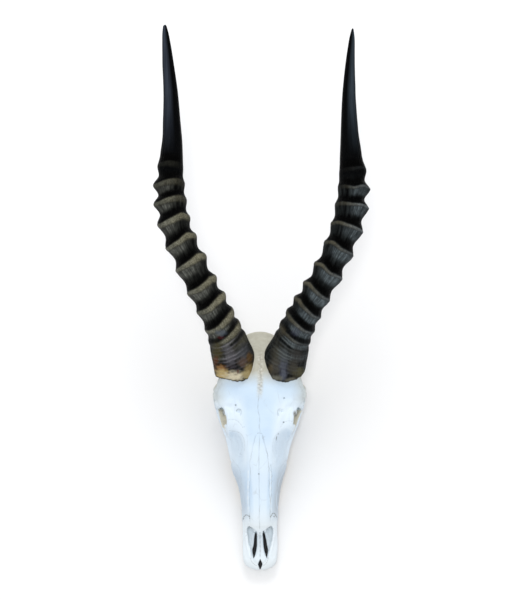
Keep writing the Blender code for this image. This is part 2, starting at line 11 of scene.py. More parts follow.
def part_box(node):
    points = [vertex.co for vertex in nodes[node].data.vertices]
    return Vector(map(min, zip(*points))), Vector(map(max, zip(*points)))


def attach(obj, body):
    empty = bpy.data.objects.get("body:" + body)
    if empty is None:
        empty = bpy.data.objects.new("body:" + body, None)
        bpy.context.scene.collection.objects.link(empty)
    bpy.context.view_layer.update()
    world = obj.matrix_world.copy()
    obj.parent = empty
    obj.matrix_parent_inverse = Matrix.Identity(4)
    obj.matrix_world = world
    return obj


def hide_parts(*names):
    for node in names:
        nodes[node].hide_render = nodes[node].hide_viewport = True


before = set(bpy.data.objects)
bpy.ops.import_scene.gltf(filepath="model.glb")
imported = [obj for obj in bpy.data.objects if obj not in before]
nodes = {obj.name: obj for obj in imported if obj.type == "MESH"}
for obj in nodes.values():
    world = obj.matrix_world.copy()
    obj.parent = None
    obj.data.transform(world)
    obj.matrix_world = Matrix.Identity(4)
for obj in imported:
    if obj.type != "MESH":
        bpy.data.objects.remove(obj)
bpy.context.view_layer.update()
print("frame loaded:", len(nodes), "nodes")

mm = 0.001
orbitsBehindTip = 0.183  # metres from the muzzle's tip
craniumLow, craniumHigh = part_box("cranium")
# Middle of the orbits at the floor, which the drawings below are measured from.
faceOrigin = Vector(((craniumLow.x + craniumHigh.x) / 2, craniumLow.y + orbitsBehindTip, 0.0))


# Helpers

def meshFrom(name, bm):
    # Turns a bmesh into a mesh and frees it.
    mesh = bpy.data.meshes.new(name)
    bm.to_mesh(mesh)
    bm.free()
    return mesh


def newObject(name, data):
    made = bpy.data.objects.new(name, data)
    bpy.context.scene.collection.objects.link(made)
    return made


def makePiece(name, bm, nodeName):
    # Turns a bmesh into a piece of the skull, in the place of a node.
    piece = newObject(name, meshFrom(name, bm))
    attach(piece, "root")
    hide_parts(nodeName)
    return piece


def joinInto(bm, added):
    # Moves the faces of one bmesh into another.
    mesh = meshFrom("added", added)
    bm.from_mesh(mesh)
    bpy.data.meshes.remove(mesh)


def applyModifiers(piece):
    old = piece.data
    evaluated = piece.evaluated_get(bpy.context.evaluated_depsgraph_get())
    shaped = bpy.data.meshes.new_from_object(evaluated)
    piece.modifiers.clear()
    piece.data = shaped
    bpy.data.meshes.remove(old)


def copiedMesh(nodeName):
    # A node's own surface with its loose triangles joined up.
    bm = bmesh.new()
    bm.from_mesh(nodes[nodeName].data)
    bmesh.ops.remove_doubles(bm, verts=bm.verts, dist=0.00001)
    return bm


def smoothVerts(bm, verts, strength):
    bmesh.ops.smooth_vert(bm, verts=verts, factor=strength, use_axis_x=True, use_axis_y=True, use_axis_z=True)


def fairSurface(bm, verts, rounds, strength=0.5, regain=1.06):
    # Evens out the surface without shrinking it.
    for _ in range(rounds):
        smoothVerts(bm, verts, strength)
        smoothVerts(bm, verts, -strength * regain)


def pointsOf(bm):
    return np.array([vert.co[:] for vert in bm.verts])


def faceMillimetres(points):
    # Places in millimetres from the middle of the orbits.
    return (points - np.array(faceOrigin)) / mm


def smoothStep(low, high, value):
    t = np.clip((value - low) / (high - low), 0, 1)
    return t * t * (3 - 2 * t)


def between(start, full, waning, end, value):
    # Mask that rises from start to full and falls from waning to end.
    return smoothStep(start, full, value) * smoothStep(end, waning, value)


def unit(vectors):
    return vectors / np.linalg.norm(vectors, axis=-1, keepdims=True)


def lengthsAlong(points):
    # Length of a path up to each of its points.
    return np.concatenate([[0], np.cumsum(np.linalg.norm(np.diff(points, axis=0), axis=1))])


def newMaterial(name):
    # A material with its node tree and the sockets of its shader.
    material = bpy.data.materials.new(name)
    material.use_nodes = True
    return material, material.node_tree, material.node_tree.nodes["Principled BSDF"].inputs


# Camera at the photograph's viewing angle

cameraSettings = {
    "elevation": 72.0,  # degrees above the floor
    "planeHeight": 0.085,  # of the plane that is seen at the drawing's scale
    "distance": 1.8,  # from that plane
    "pixelSize": 0.00124,  # metres a pixel in that plane
    "imageSize": (507, 600),
    "orbitPixel": (260.0, 416.5),  # where the middle of the orbits is seen
    "orbitHeight": 0.0232,  # along the image's vertical axis
    "sensor": 36.0,
    "farLimit": 20.0,
}
focalPixels = cameraSettings["distance"] / cameraSettings["pixelSize"]
middleColumn = cameraSettings["orbitPixel"][0]  # of the skull on the drawing
farAway = 99.0  # pixels, for places that no drawn line comes near


def cameraFrame():
    # Right, up and backward axes of the camera and its place.
    settings = cameraSettings
    angle = math.radians(settings["elevation"])
    right = Vector((1, 0, 0))
    up = Vector((0, math.sin(angle), math.cos(angle)))
    back = Vector((0, -math.cos(angle), math.sin(angle)))
    width, height = settings["imageSize"]
    across = (width / 2 - settings["orbitPixel"][0]) * settings["pixelSize"]
    along = settings["orbitHeight"] + (settings["orbitPixel"][1] - height / 2) * settings["pixelSize"]
    place = faceOrigin + right * across + up * along + back * (settings["distance"] + settings["planeHeight"])
    return right, up, back, place


def drawingPlace(points):
    # Where points are seen on the photograph's frame, in its pixels.
    right, up, back, place = cameraFrame()
    offset = np.asarray(points, float) - np.array(place)
    depth = -offset @ np.array(back)
    width, height = cameraSettings["imageSize"]
    return np.column_stack([width / 2 + offset @ np.array(right) / depth * focalPixels,
                            height / 2 - offset @ np.array(up) / depth * focalPixels])


def placeAt(x, y, height):
    # Where the drawing's pixel lies on a level plane, whose height is in millimetres.
    right, up, back, place = cameraFrame()
    width, imageHeight = cameraSettings["imageSize"]
    step = cameraSettings["pixelSize"]
    across, above = (x - width / 2) * step, (imageHeight / 2 - y) * step
    ray = right * across + up * above - back * cameraSettings["distance"]
    return place + ray * ((height * mm - place.z) / ray.z)


def lineField(places, line, reach=8.0):
    # Distance of places from a drawn line, and the share of the line that lies before the nearest point.
    line = np.array(line, float)
    span = np.diff(line, axis=0)
    size = np.linalg.norm(span, axis=1)
    before = lengthsAlong(line)
    distance, share = np.full(len(places), farAway), np.zeros(len(places))
    close = ((places > line.min(axis=0) - reach) & (places < line.max(axis=0) + reach)).all(axis=1)
    near = places[close]
    nearest, along = np.full(len(near), farAway), np.zeros(len(near))
    for start, step, length, past in zip(line, span, size, before):
        t = np.clip((near - start) @ step / length**2, 0, 1)
        gap = np.linalg.norm(near - start - t[:, None] * step, axis=1)
        along = np.where(gap < nearest, (past + t * length) / before[-1], along)
        nearest = np.minimum(gap, nearest)
    distance[close], share[close] = nearest, along
    return distance, share


def regionField(places, outline):
    # Distance of places from a closed outline, negative inside it.
    outline = np.array(outline, float)
    distance, _ = lineField(places, np.vstack([outline, outline[:1]]))
    inside = np.zeros(len(places), bool)
    for (ax, ay), (bx, by) in zip(outline, np.roll(outline, -1, axis=0)):
        spans = (ay > places[:, 1]) != (by > places[:, 1])
        across = ax + (places[:, 1] - ay) / (by - ay if by != ay else 1e-9) * (bx - ax)
        inside ^= spans & (places[:, 0] < across)
    return np.where(inside, -distance, distance)


def makeCamera():
    data = bpy.data.cameras.new("photoCamera")
    data.sensor_width = cameraSettings["sensor"]
    data.lens = focalPixels / cameraSettings["imageSize"][1] * cameraSettings["sensor"]
    data.clip_end = cameraSettings["farLimit"]
    camera = newObject("photoCamera", data)
    camera.location = cameraFrame()[3]
    camera.rotation_euler = (math.radians(90 - cameraSettings["elevation"]), 0, 0)
    bpy.context.scene.camera = camera


makeCamera()


# Studio

studioSettings = {
    "floorColour": (0.865, 0.865, 0.865),
    "floorRoughness": 0.9,
    "floorSize": 12.0,
    "skyColour": (0.97, 0.98, 1.0),
    "skyStrength": 0.88,
    "aim": (0, -0.02, 0.08),
    "lights": (
        # name, degrees above the floor, degrees round from the muzzle, distance, size, power, colour
        ("softbox", 77.0, -12.0, 2.3, 0.36, 12.0, (1.0, 0.99, 0.97)),
        ("backLight", 50.0, 180.0, 2.3, 1.0, 14.5, (1.0, 1.0, 1.0)),
    ),
}


def makeLights():
    world = bpy.data.worlds.new("studioSky")
    world.use_nodes = True
    background = world.node_tree.nodes["Background"].inputs
    background["Color"].default_value = (*studioSettings["skyColour"], 1)
    background["Strength"].default_value = studioSettings["skyStrength"]
    bpy.context.scene.world = world
    aim = Vector(studioSettings["aim"])
    for name, height, around, distance, size, power, colour in studioSettings["lights"]:
        data = bpy.data.lights.new(name, "AREA")
        data.shape = "DISK"
        data.size = size
        data.energy = power
        data.color = colour
        height, around = math.radians(height), math.radians(around)
        level = math.cos(height)
        outwards = Vector((level * math.sin(around), -level * math.cos(around), math.sin(height)))
        light = newObject(name, data)
        light.location = aim + outwards * distance
        light.rotation_euler = outwards.to_track_quat("Z", "Y").to_euler()


def makeFloor():
    bm = bmesh.new()
    bmesh.ops.create_grid(bm, x_segments=1, y_segments=1, size=studioSettings["floorSize"] / 2)
    floor = newObject("studioFloor", meshFrom("studioFloor", bm))
    material, _, shader = newMaterial("paleFloor")
    shader["Base Color"].default_value = (*studioSettings["floorColour"], 1)
    shader["Roughness"].default_value = studioSettings["floorRoughness"]
    shader["Specular IOR Level"].default_value = 0.0
    floor.data.materials.append(material)


makeLights()
makeFloor()
bpy.context.scene.view_settings.view_transform = "Standard"
bpy.context.scene.view_settings.look = "None"
print("camera and studio made")


# Shape of the horns, which the bony cores inside them follow too

hornSettings = {
    "turns": 124,  # faces round the horn
    "steps": 760,  # faces along it
    # x, y, z and mean radius along the axis, in millimetres from the middle of the orbits
    "axis": (
        (25.5, 38.5, 72.5, 24.6),
        (28.4, 45.5, 81.5, 25.4),
        (31.3, 53, 91, 25.4),
        (35, 71.5, 111.5, 24.6),
        (42, 92, 131.8, 22.6),
        (62.6, 125.4, 162.3, 19),
        (85, 163.2, 187.2, 17.4),
        (103, 202.5, 206.3, 17),
        (110.2, 247.7, 222.6, 15.8),
        (109, 283.5, 234.5, 13.4),
        (107.3, 312, 243.3, 10.4),
        (107, 352, 257.2, 7.8),
        (109.5, 388, 271, 6),
        (111.6, 412, 281, 4.2),
        (112.6, 425, 287, 1.6),
    ),
    "axisPoints": 900,
    "tipStretch": 90.0,  # millimetres that the further reach of the tip is spread over
    "tipRadius": 2.4,
    "front": (0, -0.6, 0.8),  # the way that the front of the horn faces
    "swell": 1.09,  # the base is oval, longer along the skull than across it
    "swellEnd": 140.0,
    "ringTilt": ((40, 0.2), (110, 0.19), (150, 0.12), (190, 0.03), (215, 0)),  # slope towards the inner side
    "wallThickness": 2.2,
    "wallDepth": 6.0,  # how far the sheath's inner wall is seen above its edge
    "wallTaper": 1.4,  # thickness of the wall there, in wall thicknesses
    "edgeWear": 1.35,  # depth of the notches in the sheath's lower edge
    "textureRadius": 24.0,  # of the space that the streaks and grain are laid in
}
ringSettings = {
    "waver": 0.9,  # millimetres that the rings wander along the horn
    "waistAt": 0.44,  # share of the way from one crest to the next
    "crestShare": 0.52,  # of a ring's height, outside the mean radius
    "lastRingFade": 9.0,
    "sideTurn": 0.6,  # sine of the turn from the front, from which the shifts of a side hold
    "bandAbove": 0.5,  # reach of the pale band above and below its crest, in its widths
    "bandBelow": 1.3,
    "grooveShare": 0.24,  # reach of the dark groove above a crest, as a share of the space between rings
    "highlightRings": (30, 70, 256, 268),  # where the painted highlight in streaks below the rings starts, is full, wanes and ends
    "highlightDim": (150, 235),  # where that painted highlight grows weaker
}

hornSides = {"horn_left": 1, "horn_right": -1}
hornLeans = {  # millimetres along the horn and shift to +X
    "horn_left": ((90, 0), (150, 1.7), (215, 1.8), (265, 1.2), (305, 0.2), (400, -1.3), (450, -1.4)),
    "horn_right": ((90, 0), (126, 0.8), (165, 2.2), (300, 2.4), (335, 0.8), (375, 0), (450, -1.3)),
}
# Each ring: millimetres along the horn, height on the outer and on the inner side, and strength of its pale band
# on the outer side, in front and on the inner side.
# The bands grow weaker on the inner side of the upper rings, as painted shade.
hornRings = {
    "horn_left": (
        (44, 0.7, 1.6, 0.05, 0.2, 0.35),
        (58, 1.2, 2.0, 0.2, 0.75, 0.6),
        (75, 1.8, 2.8, 0.65, 0.95, 0.7),
        (94.5, 2.4, 3.8, 0.65, 0.8, 0.8),
        (117, 3.0, 4.2, 0.65, 0.8, 0.9),
        (145, 4.4, 4.0, 0.75, 0.85, 0.9),
        (175, 4.8, 2.8, 0.6, 0.7, 0.8),
        (203, 5.0, 2.2, 0.8, 0.95, 0.7),
        (229.5, 6.0, 2.0, 0.8, 0.8, 0.3),
        (252, 6.2, 1.8, 0.6, 0.65, 0.05),
        (274, 3.0, 0.5, 0.1, 0.12, 0.0),
    ),
    "horn_right": (
        (44, 0.7, 1.6, 0.0, 0.25, 0.5),
        (58.5, 1.2, 2.0, 0.1, 0.9, 0.9),
        (76, 1.8, 2.8, 0.9, 1.0, 0.95),
        (100, 2.6, 3.8, 0.8, 1.0, 1.0),
        (125.5, 3.2, 4.2, 0.8, 1.0, 0.95),
        (157, 4.0, 4.6, 0.85, 1.0, 0.9),
        (186, 4.4, 3.4, 0.85, 1.0, 0.8),
        (212, 5.0, 2.6, 0.85, 0.95, 0.7),
        (235, 6.2, 2.0, 0.6, 0.75, 0.3),
        (256.5, 6.2, 1.8, 0.5, 0.6, 0.1),
        (279, 2.5, 0.5, 0.1, 0.12, 0.0),
    ),
}
bandWidth = {"horn_left": 2.3, "horn_right": 4.0}
# How far the rings lie nearer to the tip than their ends in the outline: millimetres along the horn, and of the
# shift towards the outer side, in front and towards the inner side.
ringShifts = {
    "horn_left": (
        (64, 0, 0, 0), (95, 2.4, 3.4, 5.0), (130, 4.8, 5.2, 5.8), (164, 5.0, 3.7, 6.5),
        (195, 2.2, 3.2, 5.0), (224, 1.3, 1.4, 1.8), (253, 1.3, -2.8, 0), (280, 0, 0, 0),
    ),
    "horn_right": (
        (64, 0, 0.5, 1.5), (95, 3.2, 3.6, 4.8), (130, 4.0, 3.9, 4.6), (165, 2.4, 3.7, 5.6),
        (195, -2.2, -1.0, 3.9), (224, -1.3, 0, 3.7), (252, -2.4, -1.3, 1.3), (280, 0, 0, 0),
    ),
}
# Further reach of the tips, in millimetres.
hornTips = {"horn_left": 1.3, "horn_right": 5.5}
# How far the rings arch towards the tip in front: millimetres along the horn and of the arch.
ringArches = {
    "horn_left": ((150, 0), (205, 2), (262, 2.2), (300, 0.6), (330, 0)),
    "horn_right": ((140, 0), (190, 3), (262, 4.6), (300, 1.5), (330, 0)),
}
# Corrections of the outline: millimetres along the horn, added on the outer and on the inner side.
outlineCorrections = {
    "horn_left": (
        (0, 0, 1), (12, 0.4, 2.6), (20, 0.8, 2.4), (30, 1, -0.4), (40, 1.1, -3.0), (52, 0.8, -3.2),
        (64, 0.6, -2.6), (75, 0.2, -2.4), (90, 0, -2),
        (105, 0, -2.4), (125, 0, -1.8), (140, 0.2, -1.6), (150, 0.2, -1.2), (165, -0.1, -0.6), (180, 0.3, 0.2),
        (198, 0, 1.1), (208, 0.8, 1.1), (220, 1.6, 1.7), (235, 1.8, 1.6), (250, 1.9, 1.0), (262, 1.0, 1.8),
        (275, 0.1, 0.8), (290, -0.7, 0.2), (308, 0.1, -0.3), (330, 1.0, -0.5), (350, 1.3, -0.6), (375, 1.2, -0.6),
        (400, -0.2, -0.5), (420, -0.7, -0.6), (450, -0.9, -0.3),
    ),
    "horn_right": (
        (0, 1, 1.5), (18, 1.4, 1.8), (30, 1.9, -0.4), (40, 2.2, -2.0), (52, 2.6, -2.8), (62, 1.8, -3.2),
        (75, 0.2, -2.4), (90, 0.3, -1.4), (105, 0.4, -1.2), (125, 0.9, -1.0), (150, 1.9, -0.9), (180, 1.4, -0.6),
        (205, 2.3, -0.8), (225, 3.0, -0.4), (245, 2.7, 0.2), (262, 1.6, 0.6), (280, 0.3, 0), (300, 0.6, 0),
        (330, 1.6, 0.4), (370, 2.1, 0.2), (400, 1.8, -0.2), (430, 0.7, -0.4), (460, 0.7, -0.1),
    ),
}
# Fine ridges across the front of the base: millimetres along the horn.
fineRidges = {
    "horn_left": (15.5, 20.4, 24.6, 28.8, 32.6, 36.6, 41, 45.5, 50.2, 54),
    "horn_right": (13.6, 17.8, 22.4, 26.5, 31.7, 36.3, 43, 47.5, 52.6),
}
ridgeTurns = {"horn_left": 0.28, "horn_right": 0.0}  # how far they lie towards the inner side
# Lower edge of the sheaths: degrees from the front towards the outer side, and millimetres along the horn.
sheathEdges = {
    "horn_left": (
        (-180, 5.5), (-160, 2.5), (-140, -0.5), (-120, -3), (-100, -4.3), (-80, -4), (-60, 0), (-40, -1.5),
        (-20, -0.6), (0, 1.4), (20, 6), (40, 8.7), (60, 11.8), (80, 14.7), (100, 14), (120, 12.3), (140, 10.4),
        (160, 8), (180, 5.5),
    ),
    "horn_right": (
        (-180, 3), (-160, 0.5), (-140, -2), (-120, -4), (-100, -5.2), (-80, -5), (-60, -1), (-40, -2.5),
        (-20, -0.5), (0, 3.2), (20, 8.3), (40, 9), (60, 7.8), (80, 7.2), (100, 6.8), (120, 6.4), (140, 5.8),
        (160, 4.6), (180, 3),
    ),
}
# Swelling of the sheaths' inner side near the base: millimetres along the horn and outwards.
innerSwells = {
    "horn_left": ((-20, 2), (20, 2), (45, 0.5), (60, 0), (500, 0)),
    "horn_right": ((-20, 1.3), (20, 1.2), (45, 0.3), (60, 0), (500, 0)),
}


def smoothValues(at, places, values):
    # Cubic curve through values at rising places, with no swing past them.
    places, values = np.asarray(places, float), np.asarray(values, float)
    steps = np.diff(places)
    slopes = np.diff(values) / steps
    tangents = np.concatenate([slopes[:1], np.zeros(len(values) - 2), slopes[-1:]])
    before, after = slopes[:-1], slopes[1:]
    weight = steps[:-1] / (steps[:-1] + steps[1:])
    limit = 3 * np.minimum(abs(before), abs(after))
    mean = np.clip((1 - weight) * before + weight * after, -limit, limit)
    tangents[1:-1] = np.where(before * after <= 0, 0, mean)
    i = np.clip(np.searchsorted(places, at) - 1, 0, len(places) - 2)
    t, h = (at - places[i]) / steps[i], steps[i]
    return ((2 * t**3 - 3 * t**2 + 1) * values[i] + (t**3 - 2 * t**2 + t) * h * tangents[i]
            + (3 * t**2 - 2 * t**3) * values[i + 1] + (t**3 - t**2) * h * tangents[i + 1])


def roundCurve(points, count):
    # Rounded curve through the points, spaced by its length.
    points = np.asarray(points, float)
    padded = np.vstack([2 * points[0] - points[1], points, 2 * points[-1] - points[-2]])
    fine = []
    for a, b, c, d in zip(padded, padded[1:], padded[2:], padded[3:]):
        bend, twist = 2 * a - 5 * b + 4 * c - d, 3 * b - a - 3 * c + d
        for t in np.linspace(0, 1, 16, endpoint=False):
            fine.append(0.5 * (2 * b + (c - a) * t + bend * t**2 + twist * t**3))
    fine = np.array(fine + [points[-1]])
    length = lengthsAlong(fine[:, :3])
    wanted = np.linspace(0, length[-1], count)
    return np.column_stack([np.interp(wanted, length, column) for column in fine.T])


def hornAxis(name):
    # The horn's axis with mean radius, and its length from the skull's surface, in millimetres.
    settings = hornSettings
    axis = np.array(settings["axis"], float) * (hornSides[name], 1, 1, 1)
    path = roundCurve(axis, settings["axisPoints"])
    length = lengthsAlong(path[:, :3])
    surfacePoint = axis[2, :3]  # where the horn leaves the skull
    length -= length[np.argmin(np.linalg.norm(path[:, :3] - surfacePoint, axis=1))]
    further = hornTips[name] * smoothStep(length[-1] - settings["tipStretch"], length[-1], length)
    path[:, :3] += unit(path[-1, :3] - path[-12, :3]) * further[:, None]
    length += further
    lean = np.array(hornLeans[name], float)
    path[:, 0] += smoothValues(length, lean[:, 0], lean[:, 1]) * (length > lean[0, 0])
    return path, length


def wobble(cosine, sine, along, pace, reach, seed):
    # Smooth random values over the horn, the same on each run.
    flat = np.stack(np.broadcast_arrays(cosine * reach, sine * reach, along * pace + seed), -1)
    values = [noise.noise(Vector(point)) for point in flat.reshape(-1, 3).tolist()]
    return np.array(values).reshape(flat.shape[:-1])


def roundTheHorn(outer, front, inner, turn):
    # Value of the outer side at a turn of 1, of the front at 0 and of the inner side at -1.
    return front + (outer - front) * np.clip(turn, 0, 1) + (inner - front) * np.clip(-turn, 0, 1)


def ringPlaces(name, s, turnCos, turnSin):
    # Length along the horn at which a place lies for the relief of the rings and for their pale bands.
    place = s + ringSettings["waver"] * wobble(turnCos, turnSin, s, 0.02, 1.6, 40 * hornSides[name])
    at, *shifts = zip(*ringShifts[name])
    shift = roundTheHorn(*(np.interp(s, at, side) for side in shifts), turnSin / ringSettings["sideTurn"])
    shift = shift * smoothStep(-0.6, 0.2, turnCos)
    bandPlace = place - shift * (1 - 0.5 * smoothStep(0.75, 1, abs(turnSin)))
    return place - shift * np.clip(turnCos, 0, 1) ** 2, bandPlace


def ringMarks(name, place, turnSin):
    # Masks of the pale band on each crest, the dark groove above it and the painted highlight in streaks below
    # it.
    settings = ringSettings
    rings = np.array(hornRings[name], float)
    band, groove, below = np.zeros((3, *place.shape))
    width = bandWidth[name] * (1 - 0.35 * turnSin)
    start, full, waning, end = settings["highlightRings"]
    for (crest, _, _, outside, ahead, inside), spacing in zip(rings, np.diff(rings[:, 0], prepend=start)):
        away = place - crest
        above = np.exp(-((away / (settings["bandAbove"] * width)) ** 4))
        under = np.exp(-(abs(away / (settings["bandBelow"] * width)) ** 5))
        band = np.maximum(band, roundTheHorn(outside, ahead, inside, turnSin) * np.where(away > 0, above, under))
        reach = settings["grooveShare"] * min(28.0, 14 + 0.1 * crest)
        darkness = min(1, 0.25 + 0.02 * max(crest - 40, 0))
        groove = np.maximum(groove, between(0.8, 2.6, reach, 2.2 * reach, away) * darkness)
        # Painted highlight in fine streaks below this crest, weaker higher up.
        lit = (0.3 + 0.7 * smoothStep(start, full, crest)) * smoothStep(end, waning, crest)
        # No painted highlight on the inner side higher up.
        lit *= 1 - smoothStep(150, 220, crest) * smoothStep(0.3, -0.5, turnSin)
        lit *= 1 - 0.35 * smoothStep(*settings["highlightDim"], crest)
        faded = smoothStep(-4 - 0.45 * spacing, -9, away)
        below = np.maximum(below, lit * faded * smoothStep(-width, -1.7 * width, away))
    return band, groove, below


def ringShape(name, s, turnCos, turnSin):
    # Height over the mean radius at length s, and the masks of the rings.
    rings = np.array(hornRings[name], float)
    crests = rings[:, 0]
    place, bandPlace = ringPlaces(name, s, turnCos, turnSin)
    i = np.clip(np.searchsorted(crests, place) - 1, 0, len(crests) - 2)
    share = np.clip((place - crests[i]) / (crests[i + 1] - crests[i]), 0, 1)
    waist, crestShare = ringSettings["waistAt"], ringSettings["crestShare"]
    down = np.where(share < waist, share / waist, (1 - share) / (1 - waist))
    rise = crestShare - (0.5 - 0.5 * np.cos(np.pi * down))
    under = np.clip(place / crests[0], 0, 1) * crestShare
    above = np.clip(1 - (place - crests[-1]) / ringSettings["lastRingFade"], 0, 1) * crestShare
    rise = np.where(place < crests[0], under, np.where(place > crests[-1], above, rise))
    outer, inner = (rings[i, side] + (rings[i + 1, side] - rings[i, side]) * share for side in (1, 2))
    height = rise * (inner + (outer - inner) * (0.5 + 0.5 * turnSin))
    return height, *ringMarks(name, bandPlace, turnSin)


def hornSkin(name, s, turn):
    # Points of the horn's surface in metres, the way out of it at each, and the masks of its rings with their
    # painted highlight.
    settings = hornSettings
    path, length = hornAxis(name)

    def axisAt(where):
        return np.stack([np.interp(where, length, path[:, k]) for k in range(3)], -1)

    middle, radius = axisAt(s), np.interp(s, length, path[:, 3])
    direction = unit(axisAt(s + 3) - axisAt(s - 3))
    facing = np.array(settings["front"])
    front = unit(facing - direction * (direction @ facing)[..., None])
    outer = unit(np.cross(direction, front))
    outer = outer * np.sign(outer[..., :1] * hornSides[name])
    turnCos, turnSin = np.cos(turn), np.sin(turn)
    swell = 1 + (settings["swell"] - 1) * np.clip(1 - np.maximum(s, 0) / settings["swellEnd"], 0, 1)
    height, *marks = ringShape(name, s, turnCos, turnSin)
    left = length[-1] - s
    point = np.sqrt(np.clip(1 - np.clip(1 - left / settings["tipRadius"], 0, 1) ** 2, 0, 1))
    slope = np.interp(s, *zip(*settings["ringTilt"]))
    arch = np.interp(s, *zip(*ringArches[name])) * np.clip(turnCos, 0, 1) ** 2
    lengths, outside, inside = zip(*outlineCorrections[name])
    swelling = np.interp(s, *zip(*innerSwells[name])) * np.clip(-turnSin, 0, 1) ** 2
    swelling += roundTheHorn(np.interp(s, lengths, outside), 0, np.interp(s, lengths, inside), turnSin)
    reach = (radius + height + swelling) * point
    spoke = front * (turnCos * swell)[..., None] + outer * (turnSin / np.sqrt(swell))[..., None]
    skin = middle + spoke * reach[..., None] + direction * (arch - turnSin * radius * slope)[..., None]
    return skin * mm + np.array(faceOrigin), spoke, marks


# Bone

boneSettings = {
    "voxel": 0.0014,
    "fairing": 8,
    "coreStart": -16.0,  # of the bony core inside each sheath, along the horn
    "coreEnd": 34.0,
    "coreInset": 1.5,  # below the sheath's outer surface
    "coreTaper": 8.0,  # further inset at its upper end
    "coreFoot": 2.5,  # and at its lower end
    "orbitBars": (  # x, y, z and radius, in millimetres from the middle of the orbits
        ((38, 13, 94, 6), (45, 12.5, 90.5, 6), (50, 12.5, 84, 5.2), (52.5, 13, 74, 4.4), (53, 14, 62, 4.2)),
    ),
    # Lumps as centre and half sizes, mirrored: bumps of the orbit's edge, its closed front, below the nasal tips
    "lumps": (
        ((42.6, 0.5, 89.5), (3.6, 2.6, 5.5)),
        ((41.5, -14.5, 66), (6, 6.5, 17)),
        ((51, 17.5, 77), (3.6, 6, 12)),
        ((0, -133.5, 31), (9.0, 10, 15)),
    ),
    "orbitCut": ((44.5, -5.5, 71), (6, 9, 15)),  # centre and half sizes
    # Side of the face before the orbits: y, upper edge x z and lower edge x z
    "faceRows": (
        (-76, 12.4, 70.5, 21, 54),
        (-60, 13.3, 76.8, 24.2, 58.5),
        (-47, 14.8, 81.2, 27.2, 62),
        (-30, 19.8, 86.2, 31.6, 68.4),
        (-18, 27, 88.6, 36.4, 75),
    ),
    "faceInset": (5, 13, 9),  # of its hidden edges: inwards, below the upper and below the lower edge
    "tipLump": ((0, -180.2, 15), (7, 2.7, 2.6)),  # joins the two halves of the jaw's tip
    "floorSlab": (12.4, 18.2),  # bottom and top of the nose's floor, a sheet under the slits that carries their painted shade
    "floorGrow": 2.0,  # how far it reaches past the openings in it
    "slitFloor": 14.2,
    "cutTop": 40.0,  # of the blocks that cut the openings
    "orbitHollow": ((50, 2, 70.5), (27, 20, 19.5)),  # centre and half sizes of what is olive inside
}

# Drawn on the photograph's frame, in its pixels.
slitOutlines = (
    ((256.2, 531.8), (257.0, 534), (257.0, 546), (256.2, 551), (254.6, 557), (253.4, 558.4), (252.6, 553),
     (252.3, 549.5), (253.6, 545), (254.2, 538), (255.2, 533)),
    ((263.2, 530.6), (264.2, 532), (266.0, 539), (267.2, 546), (268.1, 549.5), (267.6, 554), (266.9, 558.4),
     (265.8, 556), (264.0, 549), (263.0, 541), (262.4, 534)),
)
gapOutline = ((260.2, 558.8), (261.4, 561.5), (262.4, 564.3), (261.4, 567), (260.3, 570.2), (259.9, 570.2),
              (259.0, 567), (258.0, 564.3), (259.2, 561.5))

# Openings of the orbits, as far as they are seen.
orbitOutlines = (
    ((218.6, 408.6), (224.6, 409.6), (230, 411), (230, 428.6), (223.8, 428.4), (222.2, 427), (220.2, 419.6),
     (219.0, 412.7)),
    ((302.6, 410.5), (294, 409.6), (288, 411), (288, 427.4), (295.6, 427.2), (296.6, 424), (298.6, 418),
     (300.6, 413)),
)

